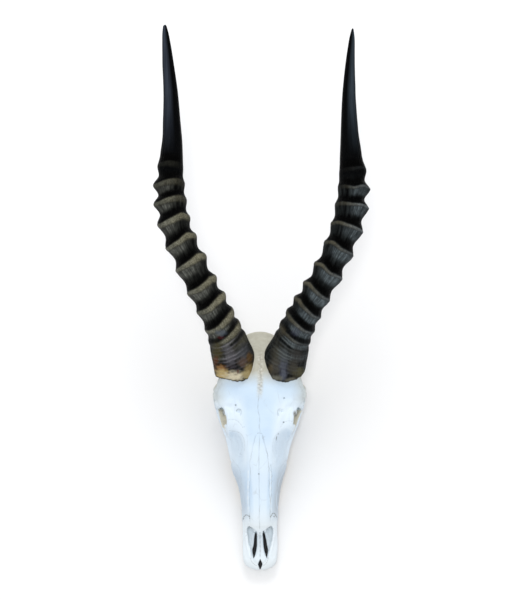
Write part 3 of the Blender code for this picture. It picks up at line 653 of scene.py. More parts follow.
# Seams between the bones: name, drawn line, width in pixels, depth in millimetres, waver in pixels and darkness.
seams = (
    ("frontalUpper", ((260.4, 344), (260.6, 350), (260.2, 357), (260.6, 366)), 0.7, 0.25, 0.6, 0.12),
    ("frontalZigzag", ((260.6, 364), (260.3, 372), (260.6, 380), (260.0, 388), (259.2, 393)),
     0.7, 0.4, 1.7, 0.4),
    ("frontalLower", ((259.2, 393), (258.5, 400), (258.0, 410), (259.6, 418), (259.3, 426), (260.2, 433)),
     0.45, 0.4, 0.35, 0.4),
    ("nasalCross", ((256.8, 433.6), (259.0, 433.2), (261.8, 433.8)), 0.5, 0.4, 0.2, 0.5),
    ("betweenNasals", ((259.6, 434), (259.2, 447), (258.9, 460), (259.0, 474), (259.2, 488), (259.3, 503),
                       (259.4, 518), (259.8, 531)), 0.42, 0.5, 0.12, 0.4),
    ("nasalLeft", ((256.8, 433.8), (254.8, 439), (252.5, 448), (250.9, 457), (249.4, 463), (250.3, 472),
                   (249.4, 488), (249.6, 503), (249.7, 515), (249.6, 524)), 0.45, 0.45, 0.3, 0.35),
    ("nasalRight", ((261.8, 433.8), (263.0, 437), (265.4, 447), (267.9, 457), (269.3, 473), (269.4, 492),
                    (270.3, 500), (270.4, 515), (270.6, 524)), 0.5, 0.55, 0.35, 0.5),
    ("besideNasalRight", ((270.6, 464), (271.4, 470), (271.9, 480), (271.4, 490), (272.0, 500)),
     0.6, 0.35, 0.6, 0.35),
    # The darkness of the openings below is painted shade.
    ("openingLeft", ((236.4, 411.8), (236.9, 410.2), (238.4, 409.3), (240.0, 409.6), (241.0, 411.0)),
     0.5, 0.9, 0.0, 0.75),
    ("grooveLeft", ((241.0, 411.0), (241.1, 413.4), (240.2, 415.4)), 0.6, 0.6, 0.0, 0.2),
    ("openingRight", ((280.6, 409.0), (278.8, 409.6), (277.9, 411.4), (278.0, 413.6), (278.9, 415.6)),
     0.5, 0.8, 0.0, 0.45),
    ("fossaLeftOuter", ((231, 431.4), (236, 431.8), (240.8, 433.8), (243.4, 438.6), (244.4, 445), (244.0, 452)),
     0.45, 0.25, 0.1, 0.22),
    ("fossaLeftInner", ((237.6, 436), (240.4, 440.4), (241.6, 445.4), (240.6, 451.4), (238.6, 455)),
     0.4, 0.2, 0.1, 0.18),
    ("fossaLeftInmost", ((236.2, 441), (238.0, 446), (237.4, 451)), 0.4, 0.15, 0.1, 0.12),
    ("fossaRightOuter", ((279.2, 431.8), (275.6, 436), (273.4, 441), (272.8, 447), (273.6, 454)),
     0.45, 0.25, 0.1, 0.22),
    ("fossaRightInner", ((278.8, 440), (276.6, 446), (277.0, 452), (278.4, 457)), 0.4, 0.2, 0.1, 0.15),
    ("lacrimalLeft", ((226.8, 420.6), (231, 419.6), (236, 420.4), (239.5, 423.2), (243, 428)),
     0.5, 0.25, 0.3, 0.3),
    ("lacrimalRight", ((293, 421.6), (288, 421), (283, 423.5), (280.5, 427.5)), 0.5, 0.2, 0.3, 0.25),
    ("lacrimalLowerLeft", ((228.5, 430.6), (233, 431), (239, 433), (243, 437.5), (244.6, 444)),
     0.5, 0.2, 0.2, 0.25),
    ("postorbitalLeft", ((222.0, 382.6), (218.0, 389), (216.4, 395), (217.0, 401), (219.6, 406.6)),
     0.9, 0.7, 0.4, 0.14),
    ("postorbitalRight", ((298.2, 382.6), (302.2, 389), (303.4, 395), (302.8, 401), (300.6, 406)),
     0.9, 0.7, 0.4, 0.14),
    ("cheekLeft", ((230.2, 455), (234, 462), (239, 468), (241, 480), (240.5, 492)), 0.45, 0.2, 0.5, 0.18),
    ("cheekRight", ((288.5, 455), (284, 463), (279.5, 470), (277.6, 482), (277.8, 494)), 0.45, 0.2, 0.5, 0.18),
    ("premaxillaLeft", ((242.4, 519.3), (244.4, 516.2), (246.4, 515.0), (248.7, 516.6), (249.6, 519)),
     0.6, 0.7, 0.5, 1.0),
    ("premaxillaRight", ((270.6, 517.6), (272.4, 514.2), (274.4, 513.6), (276.0, 515.4), (277.6, 517.4)),
     0.6, 0.7, 0.5, 1.0),
    ("noseFloorMiddle", ((259.9, 532), (260.1, 545), (260.2, 558)), 0.5, 0.6, 0.05, 0.7),
    ("tipLineLeft", ((250.8, 558), (251.6, 561.6), (254.2, 564.4), (257.6, 566.4)), 0.5, 0.4, 0.1, 0.5),
    ("tipLineRight", ((268.4, 557), (267.4, 561), (265.6, 564), (262.8, 566.2)), 0.5, 0.4, 0.1, 0.5),
)

# Ridges, in the same way: drawn line, width in pixels and height in millimetres; each also gets a painted
# highlight.
ridges = (
    (((257.9, 533), (258.0, 546), (257.2, 552), (255.6, 558)), 0.8, 0.8),
    (((262.0, 533), (262.4, 546), (263.4, 552), (265.0, 558)), 0.8, 0.8),
    (((246.6, 526), (245.6, 534), (246.8, 544), (249.0, 553), (250.8, 560)), 1.2, 1.0),
    (((273.6, 526), (273.9, 536), (272.2, 546), (269.8, 554), (268.2, 560)), 1.2, 1.0),
    (((243.4, 521), (243.0, 532), (243.4, 545), (244.8, 556), (249.0, 564)), 1.3, 0.5),
    (((276.6, 521), (276.8, 532), (276.2, 545), (274.8, 556), (270.6, 564)), 1.3, 0.5),
    (((218.2, 378), (214.9, 385), (213.4, 392), (214.2, 399), (216.2, 407)), 1.2, 0.8),
    (((302.0, 378), (304.9, 385), (306.0, 392), (305.0, 399), (302.8, 406)), 1.2, 0.8),
    (((270.4, 466), (270.7, 480), (270.5, 500), (271.4, 514)), 0.8, 0.5),
    (((248.4, 466), (248.2, 482), (247.9, 500), (248.3, 514)), 0.8, 0.35),
    (((223.0, 405.6), (226.8, 408.6), (228.6, 414), (228.0, 421), (226.6, 430)), 0.9, 0.45),
    (((297.0, 406.0), (292.8, 408.2), (289.8, 413.6), (290.4, 421), (291.4, 429.4)), 0.9, 0.45),
    (((220.2, 424), (224.2, 434), (227.6, 447), (230.6, 461), (233.6, 472)), 0.7, 0.4),
    (((300.4, 421), (296.6, 432), (292.2, 444), (289.0, 457), (285.8, 469)), 0.7, 0.4),
)

# Pits: drawn place, half width and half height in pixels, depth in millimetres and darkness, which is painted
# shade in the pit.
pits = (
    ((295.0, 413.6), (1.8, 2.8), 0.2, 1.0),  # shaded corners of the orbits
    ((223.8, 412.6), (1.0, 3.2), 0.2, 1.0),
    ((238.6, 411.2), (1.6, 1.2), 1.2, 0.1),
    ((235.4, 405.2), (0.8, 0.8), 1.6, 0.7),
    ((240.6, 413.8), (0.8, 1.8), 0.7, 0.15),
    ((279.4, 411.4), (1.1, 1.4), 1.0, 0.1),
    ((278.0, 414.2), (0.8, 2.0), 0.7, 0.15),
    ((284.2, 398.2), (0.8, 0.8), 1.5, 0.7),
    ((283.7, 422.4), (0.8, 0.7), 1.6, 0.95),
    ((278.6, 434.2), (0.6, 0.8), 1.2, 0.6),
    ((277.0, 438.6), (0.6, 2.4), 1.4, 0.8),
    ((244.0, 427.0), (0.5, 0.5), 0.6, 0.3),
    ((258.8, 474.0), (0.7, 0.7), 0.8, 0.9),
    ((248.7, 516.6), (0.7, 0.7), 1.2, 1.0),
    ((242.6, 519.2), (0.7, 0.7), 1.0, 0.8),
    ((274.4, 516.6), (0.8, 0.7), 1.0, 0.8),
    ((239.9, 455.0), (0.7, 0.9), 0.7, 0.2),
)
bumps = (((278.0, 456.2), (1.1, 1.6), 1.0), ((276.0, 460.0), (0.9, 1.3), 0.7), ((239.2, 455.8), (0.9, 1.0), 0.6),
         ((271.6, 463.5), (0.8, 1.4), 0.6))

# Hollows of the skin gland before the orbits: drawn outline, depth in millimetres and softness in pixels.
faceHollows = (
    (((228.8, 431.5), (233.5, 430.8), (238.6, 432.4), (242.6, 437), (244.6, 444), (244.8, 452), (243.6, 461),
      (241.0, 468), (236.6, 465), (232.4, 455), (229.6, 444)), 1.0, 4.0),
    (((291.6, 430.5), (286.5, 428.6), (281.4, 429.6), (277.2, 433.8), (273.6, 439), (272.4, 447), (273.2, 456),
      (276.0, 466), (280.6, 466), (285.4, 455), (289.6, 443)), 1.0, 4.0),
)
nasalOutline = ((259, 434), (255, 440), (251, 460), (250, 480), (250, 528), (270, 528), (269.6, 490), (268, 458),
                (263, 438))
# Middle of the porous seam of the forehead.
porousLine = ((260.4, 350), (260.5, 366), (260.2, 380), (259.8, 392), (258.8, 402))


def barPiece(bm, bar, side):
    # Round bar of bone through the given points.
    dense = roundCurve(np.array(bar, float) * (side, 1, 1, 1), 16)
    for x, y, z, radius in dense.tolist():
        place = Matrix.Translation(faceOrigin + Vector((x, y, z)) * mm)
        bmesh.ops.create_icosphere(bm, subdivisions=2, radius=radius * mm, matrix=place)


def lumpPiece(bm, centre, half, side=1):
    place = Matrix.Translation(faceOrigin + Vector((side * centre[0], centre[1], centre[2])) * mm)
    size = Matrix.Diagonal((*(mm * value for value in half), 1))
    bmesh.ops.create_icosphere(bm, subdivisions=3, radius=1, matrix=place @ size)


def facePiece(bm, rows, side):
    # Fills the side of the face up to its plain surface.
    inwards, upperDrop, lowerDrop = boneSettings["faceInset"]
    loops = []
    for y, upperX, upperZ, lowerX, lowerZ in rows:
        corners = ((upperX - inwards, upperZ - upperDrop), (upperX, upperZ),
                   (lowerX, lowerZ), (lowerX - inwards, lowerZ - lowerDrop))
        verts = [bm.verts.new(faceOrigin + Vector((side * x, y, z)) * mm) for x, z in corners]
        loops.append([bm.edges.new(pair) for pair in zip(verts, verts[1:] + verts[:1])])
    for edges in (loops[0], loops[-1]):
        bmesh.ops.contextual_create(bm, geom=edges)
    for first, second in zip(loops, loops[1:]):
        bmesh.ops.bridge_loops(bm, edges=first + second)


def prismPiece(bm, outline, drawnAt, bottom, top, grow=0.0):
    # Upright block on an outline that is drawn at the given height.
    points = [placeAt(x, y, drawnAt) for x, y in outline]
    middle = sum(points, Vector()) / len(points)
    verts = []
    for point in points:
        outwards = (point - middle).normalized() * grow * mm
        verts.append(bm.verts.new((point.x + outwards.x, point.y + outwards.y, bottom * mm)))
    face = bm.faces.new(verts)
    raised = bmesh.ops.extrude_face_region(bm, geom=[face])
    lifted = [piece for piece in raised["geom"] if isinstance(piece, bmesh.types.BMVert)]
    bmesh.ops.translate(bm, verts=lifted, vec=(0, 0, (top - bottom) * mm))


def makeCore(name):
    # Bony core that carries a sheath and fills it at its lower edge.
    settings = boneSettings
    bm = bmesh.new()
    bmesh.ops.create_cone(bm, cap_ends=True, segments=48, radius1=1, radius2=1, depth=1)
    lengthwise = [edge for edge in bm.edges if abs(edge.verts[0].co.z - edge.verts[1].co.z) > 0.5]
    bmesh.ops.subdivide_edges(bm, edges=lengthwise, cuts=16, use_grid_fill=True)
    start, end = settings["coreStart"], settings["coreEnd"]
    s = np.array([start + (vert.co.z + 0.5) * (end - start) for vert in bm.verts])
    turn = np.array([math.atan2(vert.co.y, vert.co.x) for vert in bm.verts])
    skin, spoke, _ = hornSkin(name, s, turn)
    inset = settings["coreInset"] + settings["coreTaper"] * smoothStep(12, end, s)
    inset += settings["coreFoot"] * smoothStep(-4, start, s)
    for vert, place in zip(bm.verts, skin - spoke * (inset * mm)[:, None]):
        vert.co = place
    bmesh.ops.recalc_face_normals(bm, faces=bm.faces)
    return bm


def evenOut(piece):
    remesh = piece.modifiers.new("evenSurface", "REMESH")
    remesh.mode = "VOXEL"
    remesh.voxel_size = boneSettings["voxel"]
    applyModifiers(piece)


def addedBone():
    # What the plain cranium lacks: bars and lumps round the orbits, the sides of the face and the nose's floor, a
    # sheet that closes the slits from below and carries their painted shade.
    settings = boneSettings
    added = bmesh.new()
    for bar in settings["orbitBars"]:
        for side in (1, -1):
            barPiece(added, bar, side)
    for side in (1, -1):
        facePiece(added, settings["faceRows"], side)
        for centre, half in settings["lumps"]:
            lumpPiece(added, centre, half, side)
    lumpPiece(added, *settings["tipLump"])
    bottom, top = settings["floorSlab"]
    for outline in (*slitOutlines, gapOutline[:4] + gapOutline[6:]):
        prismPiece(added, outline, top, bottom, top, grow=settings["floorGrow"])
    bmesh.ops.recalc_face_normals(added, faces=added.faces)
    return added


def openingsCutter():
    # Blocks in the shape of the nose slits, the gap at the tip and the orbits.
    settings = boneSettings
    cutter = bmesh.new()
    for outline in (*slitOutlines, gapOutline):
        prismPiece(cutter, outline, settings["floorSlab"][1], settings["slitFloor"], settings["cutTop"])
    for side in (1, -1):
        lumpPiece(cutter, *settings["orbitCut"], side)
    bmesh.ops.recalc_face_normals(cutter, faces=cutter.faces)
    return cutter


def carvedBone():
    # The skull's bone in one even surface, with its small openings cut.
    bm = copiedMesh("cranium")
    bmesh.ops.subdivide_edges(bm, edges=bm.edges, cuts=1, use_grid_fill=True, smooth=0.6)
    for name in hornSides:
        joinInto(bm, makeCore(name))
    joinInto(bm, addedBone())
    piece = makePiece("craniumBone", bm, "cranium")
    evenOut(piece)
    openings = newObject("openings", meshFrom("openings", openingsCutter()))
    boolean = piece.modifiers.new("openings", "BOOLEAN")
    boolean.operation = "DIFFERENCE"
    boolean.object = openings
    boolean.solver = "MANIFOLD"
    applyModifiers(piece)
    cutterMesh = openings.data
    bpy.data.objects.remove(openings)
    bpy.data.meshes.remove(cutterMesh)
    evenOut(piece)
    return piece


sculptSettings = {
    "refineReach": (2.4, 1.1),  # pixels from the drawn details within which faces are halved, in two rounds
    "facing": 0.12,  # least cosine between a surface that counts as seen and the view
    "clearance": 0.4,  # millimetres before the surface, where the look for what hides it starts
    "nasalRise": 0.5,  # millimetres
    "crestBack": 1.8,  # millimetres that the crest at the back of the crown stands out
    "crestFrom": (75, 104),  # millimetres behind the orbits
    "floorGap": 0.0001,
}


def faceView(bm, surface):
    # For each vertex: its place, its place on the drawing, whether the camera sees it, and its normal.
    bm.verts.ensure_lookup_table()
    bm.verts.index_update()
    bm.normal_update()
    points = pointsOf(bm)
    normals = np.array([vert.normal[:] for vert in bm.verts])
    towards = unit(np.array(cameraFrame()[3]) - points)
    facing = (normals * towards).sum(axis=1)
    seen = np.zeros(len(points), bool)
    starts = points + normals * sculptSettings["clearance"] * mm
    for i in np.flatnonzero(facing > sculptSettings["facing"]).tolist():
        seen[i] = surface.ray_cast(Vector(starts[i]), Vector(towards[i]))[0] is None
    return points, drawingPlace(points), seen, normals


def refineAlong(bm, seen, everywhere, reach):
    # Halves the faces near the drawn details.
    drawn = everywhere[seen]
    nearest = np.full(len(drawn), farAway)
    for _, line, width, *_ in seams:
        nearest = np.minimum(nearest, lineField(drawn, line)[0] - width)
    for line, width, _ in ridges:
        nearest = np.minimum(nearest, lineField(drawn, line)[0] - width * 0.5)
    for place, size, *_ in (*pits, *bumps):
        nearest = np.minimum(nearest, np.linalg.norm(drawn - place, axis=1) - max(size))
    for outline in (*slitOutlines, gapOutline):
        nearest = np.minimum(nearest, abs(regionField(drawn, outline)))
    chosen = np.zeros(len(seen), bool)
    chosen[seen] = nearest < reach
    edges = [edge for edge in bm.edges if chosen[edge.verts[0].index] and chosen[edge.verts[1].index]]
    bmesh.ops.subdivide_edges(bm, edges=edges, cuts=1, use_grid_fill=True)


def waverLine(line, reach, seed):
    # A seam wanders as it grew, the same way on each run.
    dense = roundCurve(np.column_stack([np.array(line, float), np.zeros(len(line))]), 60)[:, :2]
    length = lengthsAlong(dense)
    ends = np.minimum(1, np.minimum(length, length[-1] - length) / 2)
    for axis, share in ((0, 1.5), (1, 0.5)):
        drift = [noise.noise(Vector((place * 0.55, 7 * axis, seed))) for place in length.tolist()]
        dense[:, axis] += np.array(drift) * reach * ends * share
    return dense


# Outline of the skull as it is drawn, on its left and right side in the image: y and x.
outlineLeft = ((372, 218.0), (378, 218.6), (383, 216.4), (390.5, 213.0), (394, 213.0), (400, 213.4),
               (403.5, 213.8), (409.6, 215.6), (417.3, 217.7), (424.2, 220.0), (429.6, 222.5), (438, 225.6),
               (447.3, 227.6),
               (460.4, 230.2), (468.8, 231.7), (474, 233.2), (478.4, 235.4), (486.8, 238.2), (494.4, 239.8),
               (506, 241.2), (513.6, 241.8), (525, 242.4))
outlineRight = ((372, 302.0), (378, 301.2), (383, 303.2), (390.5, 306.6), (394, 306.6), (399, 305.6),
                (408, 303.8), (415, 301.2), (425.8, 298.0), (432.7, 295.2), (441, 292.2), (450.4, 289.6),
                (465.8, 286.6),
                (472, 285.0), (478, 283.2), (486.8, 280.9), (494.4, 279.7), (506, 278.6), (513.6, 278.2),
                (525, 277.4))
outlineRows = (371, 377, 519, 526)  # where the sides start to follow it, do so, wane and end


def outlineShare(drawn):
    # How far each drawn place lies from the midline, as a share of the drawn outline.
    left = np.interp(drawn[:, 1], *zip(*outlineLeft))
    right = np.interp(drawn[:, 1], *zip(*outlineRight))
    offset = drawn[:, 0] - middleColumn
    return np.where(offset < 0, offset / (left - middleColumn), offset / (right - middleColumn))


def followOutline(bm):
    # Moves the sides of the face in or out, so that the skull is seen within its drawn outline.
    start, full, waning, end = outlineRows
    points = pointsOf(bm)
    drawn = drawingPlace(points)
    offset = drawn[:, 0] - middleColumn
    rows = np.arange(start, end + 1)
    inRows = (drawn[:, 1] > rows[0]) & (drawn[:, 1] < rows[-1])
    onset = np.interp(drawn[:, 1], (start, 425, 442, end), (0.8, 0.84, 0.6, 0.6))  # share that stays as it is
    moved = np.zeros(len(points))
    for side, outline in ((-1, outlineLeft), (1, outlineRight)):
        reach = np.array([(offset * side)[abs(drawn[:, 1] - row) < 1.2].max() for row in rows])
        reach = np.convolve(np.pad(reach, 2, mode="edge"), np.ones(5) / 5, mode="valid")
        wanted = side * (np.interp(rows, *zip(*outline)) - middleColumn)
        change = (wanted - reach) * smoothStep(start, full, rows) * smoothStep(end, waning, rows)
        ours = np.interp(drawn[:, 1], rows, reach)
        share = np.clip((offset * side / ours - onset) / (1 - onset), 0, 1.2)
        moved += side * np.interp(drawn[:, 1], rows, change) * smoothStep(0, 1, share) * inRows
    _, _, back, camera = cameraFrame()
    depth = -(points - np.array(camera)) @ np.array(back)
    for vert, step in zip(bm.verts, (moved * depth / focalPixels).tolist()):
        vert.co.x += step


def drawnRelief(places):
    # Lift in millimetres at places on the drawing, and masks of dark seams with painted shade in the pits, of
    # painted shade in the nose slits, of the porous seam and of painted highlights on the ridges.
    lift, dark, slitShade, pale = np.zeros((4, len(places)))
    for number, (_, line, width, depth, waver, darkness) in enumerate(seams):
        gap, along = lineField(places, waverLine(line, waver, number * 3.7))
        ends = between(0, 0.03, 0.97, 1, along)
        breaks = 0.75 + 0.35 * np.sin(along * 37 + number)
        lift -= depth * (np.exp(-((gap / width) ** 2)) * ends)
        dark = np.maximum(dark, darkness * breaks * np.exp(-((gap / (width * 0.8)) ** 2)) * ends)
    for number, (line, width, height) in enumerate(ridges):
        gap, along = lineField(places, line)
        profile = np.exp(-((gap / width) ** 2)) * smoothStep(0, 0.12, along) * smoothStep(1, 0.88, along)
        lift += height * profile
        # Painted highlight along the ridges.
        pale = np.maximum(pale, profile * (0.55 + 0.35 * np.sin(along * 41 + number) * np.sin(along * 17)))
    for place, size, depth, darkness in pits:
        gap = np.linalg.norm((places - place) / size, axis=1)
        lift -= depth * np.exp(-(gap**3))
        dark = np.maximum(dark, darkness * np.exp(-((gap * 0.95) ** 3)))
    for place, size, height in bumps:
        lift += height * np.exp(-(np.linalg.norm((places - place) / size, axis=1) ** 2))
    for outline, depth, softness in faceHollows:
        lift -= depth * smoothStep(0.6, -softness, regionField(places, outline))
    lift += sculptSettings["nasalRise"] * smoothStep(0, -2.5, regionField(places, nasalOutline))
    # Painted shade: the nose slits and the gap at the tip are painted black.
    for outline in (*slitOutlines, gapOutline):
        slitShade = np.maximum(slitShade, smoothStep(0.35, -0.25, regionField(places, outline)))
    gap, along = lineField(places, porousLine)
    porous = smoothStep(4.4, 1.0, gap) * between(0, 0.2, 0.72, 1, along)
    return lift, np.clip(dark, 0, 1), slitShade, porous, pale


def sculptFace(bm):
    # Halves the faces near the drawn details and carves these in.
    settings = sculptSettings
    surface = BVHTree.FromBMesh(bm)
    for reach in settings["refineReach"]:
        _, drawn, seen, _ = faceView(bm, surface)
        refineAlong(bm, seen, drawn, reach)
    points, drawn, seen, normals = faceView(bm, surface)
    front = np.flatnonzero(seen)
    lift, *masks = drawnRelief(drawn[front])
    moved = points.copy()
    moved[front] += normals[front] * (lift * mm)[:, None]
    moved[:, 1] -= settings["crestBack"] * mm * smoothStep(*settings["crestFrom"], faceMillimetres(points)[:, 1])
    moved[:, 2] = np.maximum(moved[:, 2], settings["floorGap"])
    for vert, place in zip(bm.verts, moved.tolist()):
        vert.co = place
    marks = np.zeros((len(points), 4))
    marks[front] = np.column_stack(masks)
    return points, normals, seen, marks


# Colours of the face: strength, shares of the drawn half width from none to full, and rows of the drawing
# where the colour starts, is full, wanes and ends.
faceTints = {
    "creamSides": (0.5, (0.62, 1.0), (370, 382, 396, 410)),
    # painted shade: grey on the steep lower sides of the face
    "greySides": (1.0, (0.5, 1.0), (452, 484, 508, 524)),
    # painted light: paler cheeks, rims, nose and bridge
    "cheeks": (0.62, (0.24, 0.5), (388, 410, 455, 480)),
    "rims": (0.7, (0.66, 0.8), (518, 528, 548, 560)),
    "nose": (0.9, (0.8, 0.6), (526, 532, 556, 562)),
    "bridge": (0.4, (0.42, 0.3), (436, 450, 515, 530)),
}
muzzleRows = (500, 530)  # where the bone grows less blue towards the muzzle
creamBehind = (26, 52)  # millimetres behind the orbits, where the cream of the crown starts


def boneColours(points, normals, seen, marks):
    # Where the bone is cream, olive inside the orbits, grey on its steep sides as painted shade, and paler as
    # painted light.
    face = faceMillimetres(points)
    sideways, backwards, height = abs(face[:, 0]), face[:, 1], face[:, 2]
    drawn = drawingPlace(points)
    row, share = drawn[:, 1], outlineShare(drawn)

    def tint(name):
        strength, shares, rows = faceTints[name]
        return strength * smoothStep(*shares, share) * between(*rows, row)

    cream = np.maximum(0.9 * smoothStep(*creamBehind, backwards), tint("creamSides"))
    centre, half = boneSettings["orbitHollow"]
    hollow = np.linalg.norm((np.column_stack([sideways, backwards, height]) - centre) / half, axis=1)
    slots = np.minimum(*(regionField(drawn, outline) for outline in orbitOutlines))
    olive = smoothStep(0.5, -0.5, slots) * smoothStep(84, 76, height) * seen
    olive = np.maximum(olive, smoothStep(1.14, 1.02, hollow) * smoothStep(48, 42, sideways) * ~seen)
    # Painted shade: grey on the steep sides, stronger on the right side and a little in the face hollows; where
    # the camera doesn't see, grey where the surface turns from facing up to sideways.
    fossae = smoothStep(2.5, -4.0, np.minimum(*(regionField(drawn, outline) for outline, *_ in faceHollows)))
    sides = tint("greySides") * np.where(drawn[:, 0] < middleColumn, 0.62, 1.0)
    grey = np.where(seen, np.maximum(sides, 0.06 * fossae), 0.3 * smoothStep(0.8, 0.0, normals[:, 2]))
    # Painted light: paler cheeks (less in the hollows), rims, nose and bridge, joined to the ridges' painted
    # highlight.
    paler = tint("cheeks") * (1 - 0.5 * fossae) + tint("rims") + tint("nose") + tint("bridge")
    marks[:, 3] = np.clip(np.maximum(marks[:, 3], paler * np.where(seen, 1, 0.6)), 0, 1)
    return np.column_stack([cream, olive, grey, smoothStep(*muzzleRows, row)])


softRegions = (  # centre, half sizes and rounds of smoothing, where added bone meets the rest
    ((43, 20, 90), (14, 15, 14), 16),
    ((29, -44, 66), (17, 34, 25), 60),
    ((0, -181, 15), (9, 6, 8), 3),
)


def makeCranium():
    piece = carvedBone()
    bm = bmesh.new()
    bm.from_mesh(piece.data)
    fairSurface(bm, bm.verts, boneSettings["fairing"])
    for centre, half, rounds in softRegions:
        face = faceMillimetres(pointsOf(bm))
        face[:, 0] = abs(face[:, 0])
        inside = np.linalg.norm((face - centre) / half, axis=1) < 1
        chosen = [vert for vert, within in zip(bm.verts, inside) if within]
        for _ in range(rounds):
            smoothVerts(bm, chosen, 0.5)
    followOutline(bm)
    points, normals, seen, marks = sculptFace(bm)
    tints = boneColours(points, normals, seen, marks)
    markLayer = bm.verts.layers.float_color.new("boneMarksShadeAndLight")
    tintLayer = bm.verts.layers.float_color.new("boneTintsAndShade")
    for vert, mark, tint in zip(bm.verts, marks.tolist(), tints.tolist()):
        vert[markLayer] = mark
        vert[tintLayer] = tint
    bm.to_mesh(piece.data)
    bm.free()
    piece.data.materials.clear()
    piece.data.shade_smooth()
    print("cranium:", len(piece.data.polygons), "faces")
    return piece


cranium = makeCranium()


# Parts of the materials

def feed(tree, socket, value):
    # Sets a socket to a number, or links it.
    if isinstance(value, (int, float)):
        socket.default_value = value
    else:
        tree.links.new(value, socket)


def attributeOf(tree, name):
    reader = tree.nodes.new("ShaderNodeAttribute")
    reader.attribute_name = name
    return reader.outputs


def attributeParts(tree, name):
    # The red, green, blue and alpha of a painted attribute.
    painted = attributeOf(tree, name)
    split = tree.nodes.new("ShaderNodeSeparateColor")
    tree.links.new(painted["Color"], split.inputs["Color"])
    return {**{part: split.outputs[part] for part in ("Red", "Green", "Blue")}, "Alpha": painted["Alpha"]}


def axesOf(tree, vector):
    split = tree.nodes.new("ShaderNodeSeparateXYZ")
    tree.links.new(vector, split.inputs["Vector"])
    return split.outputs


def mixColour(tree, factor, first, second):
    # Mixes two colours, each given as a socket or as numbers.
    mix = tree.nodes.new("ShaderNodeMix")
    mix.data_type = "RGBA"
    tree.links.new(factor, mix.inputs["Factor"])
    for name, value in (("A", first), ("B", second)):
        if isinstance(value, tuple):
            mix.inputs[name].default_value = (*value, 1)
        else:
            tree.links.new(value, mix.inputs[name])
    return mix.outputs["Result"]


def layOver(tree, colour, *layers):
    # Lays colours over one another, each where its mask says.
    for mask, over in layers:
        colour = mixColour(tree, mask, colour, over)
    return colour


def rangeOf(tree, value, low, high, toLow=0.0, toHigh=1.0):
    # Spreads a value between two levels, held at its ends.
    node = tree.nodes.new("ShaderNodeMapRange")
    for label, number in (("From Min", low), ("From Max", high), ("To Min", toLow), ("To Max", toHigh)):
        node.inputs[label].default_value = number
    tree.links.new(value, node.inputs["Value"])
    return node.outputs["Result"]


def maths(tree, kind, first, second):
    node = tree.nodes.new("ShaderNodeMath")
    node.operation = kind
    for socket, value in zip(node.inputs, (first, second)):
        feed(tree, socket, value)
    return node.outputs["Value"]


def times(tree, product, *factors):
    for factor in factors:
        product = maths(tree, "MULTIPLY", product, factor)
    return product


def stretched(tree, vector, stretch):
    mapping = tree.nodes.new("ShaderNodeMapping")
    mapping.inputs["Scale"].default_value = stretch
    tree.links.new(vector, mapping.inputs["Vector"])
    return mapping.outputs["Vector"]


def noiseOf(tree, vector, scale, detail, rough):
    # Noise over the given coordinates, about 0.5 in the mean.
    node = tree.nodes.new("ShaderNodeTexNoise")
    for label, value in (("Vector", vector), ("Scale", scale), ("Detail", detail), ("Roughness", rough)):
        feed(tree, node.inputs[label], value)
    return node.outputs["Fac"]


def newGroup(name, masks, **numbers):
    # An empty shader group that takes a vector and the named numbers and puts out masks.
    group = bpy.data.node_groups.new(name, "ShaderNodeTree")
    group.interface.new_socket("Vector", in_out="INPUT", socket_type="NodeSocketVector")
    for label, value in numbers.items():
        socket = group.interface.new_socket(label, in_out="INPUT", socket_type="NodeSocketFloat")
        socket.default_value = value
    for label in masks:
        group.interface.new_socket(label, in_out="OUTPUT", socket_type="NodeSocketFloat")
    return group, group.nodes.new("NodeGroupInput").outputs, group.nodes.new("NodeGroupOutput").inputs


def useGroup(tree, group, vector, **numbers):
    node = tree.nodes.new("ShaderNodeGroup")
    node.node_tree = group
    tree.links.new(vector, node.inputs["Vector"])
    for label, value in numbers.items():
        node.inputs[label].default_value = value
    return node.outputs


def bumpOf(tree, height, strength, distance):
    node = tree.nodes.new("ShaderNodeBump")
    node.inputs["Strength"].default_value = strength
    node.inputs["Distance"].default_value = distance
    tree.links.new(height, node.inputs["Height"])
    return node.outputs["Normal"]


def feedShader(tree, shader, look, colour, grain, height):
    # Feeds the shader with the colour, a roughness that follows the grain, and a fine relief.
    tree.links.new(colour, shader["Base Color"])
    tree.links.new(rangeOf(tree, grain, 0, 1, *look["roughness"]), shader["Roughness"])
    tree.links.new(bumpOf(tree, height, *look["bump"]), shader["Normal"])
    shader["Specular IOR Level"].default_value = look["specular"]


streakSettings = {  # stretch of the noise, and the span of it that is spread from 0 to 1
    "Fine": ((0.85, 0.85, 0.055), (0.43, 0.62)),
    "Broad": ((0.22, 0.22, 0.03), (0.36, 0.64)),
}
mottleSettings = {  # scale in shares of the group's, detail and roughness of the noise, and the span of it
    "Blotches": (1.0, 4.0, 0.6, (0.34, 0.66)),
    "Grain": (5.0, 3.0, 0.65, (0.3, 0.7)),
    "Specks": (9.0, 1.0, 0.5, (0.70, 0.78)),
}
crackSettings = {
    "stretch": (1.0, 0.35, 1.0),  # they run mostly along the second axis
    "width": 0.03,  # in cells of the pattern
    "breaks": (70.0, 2.0, 0.5),  # scale, detail and roughness of the noise that breaks them up
    "span": (0.52, 0.66),
}


def streakGroup():
    # Streaks along the third axis, as masks from 0 to 1.
    group, given, result = newGroup("lengthwiseStreaks", streakSettings)
    for name, (stretch, span) in streakSettings.items():
        streaks = noiseOf(group, stretched(group, given["Vector"], stretch), 1.0, 3.0, 0.6)
        group.links.new(rangeOf(group, streaks, *span), result[name])
    return group


def mottleGroup():
    # Blotches, fine grain and specks, as masks from 0 to 1.
    group, given, result = newGroup("mottledGrain", mottleSettings, Scale=1.0)
    for name, (share, detail, rough, span) in mottleSettings.items():
        mottle = noiseOf(group, given["Vector"], times(group, given["Scale"], share), detail, rough)
        group.links.new(rangeOf(group, mottle, *span), result[name])
    return group


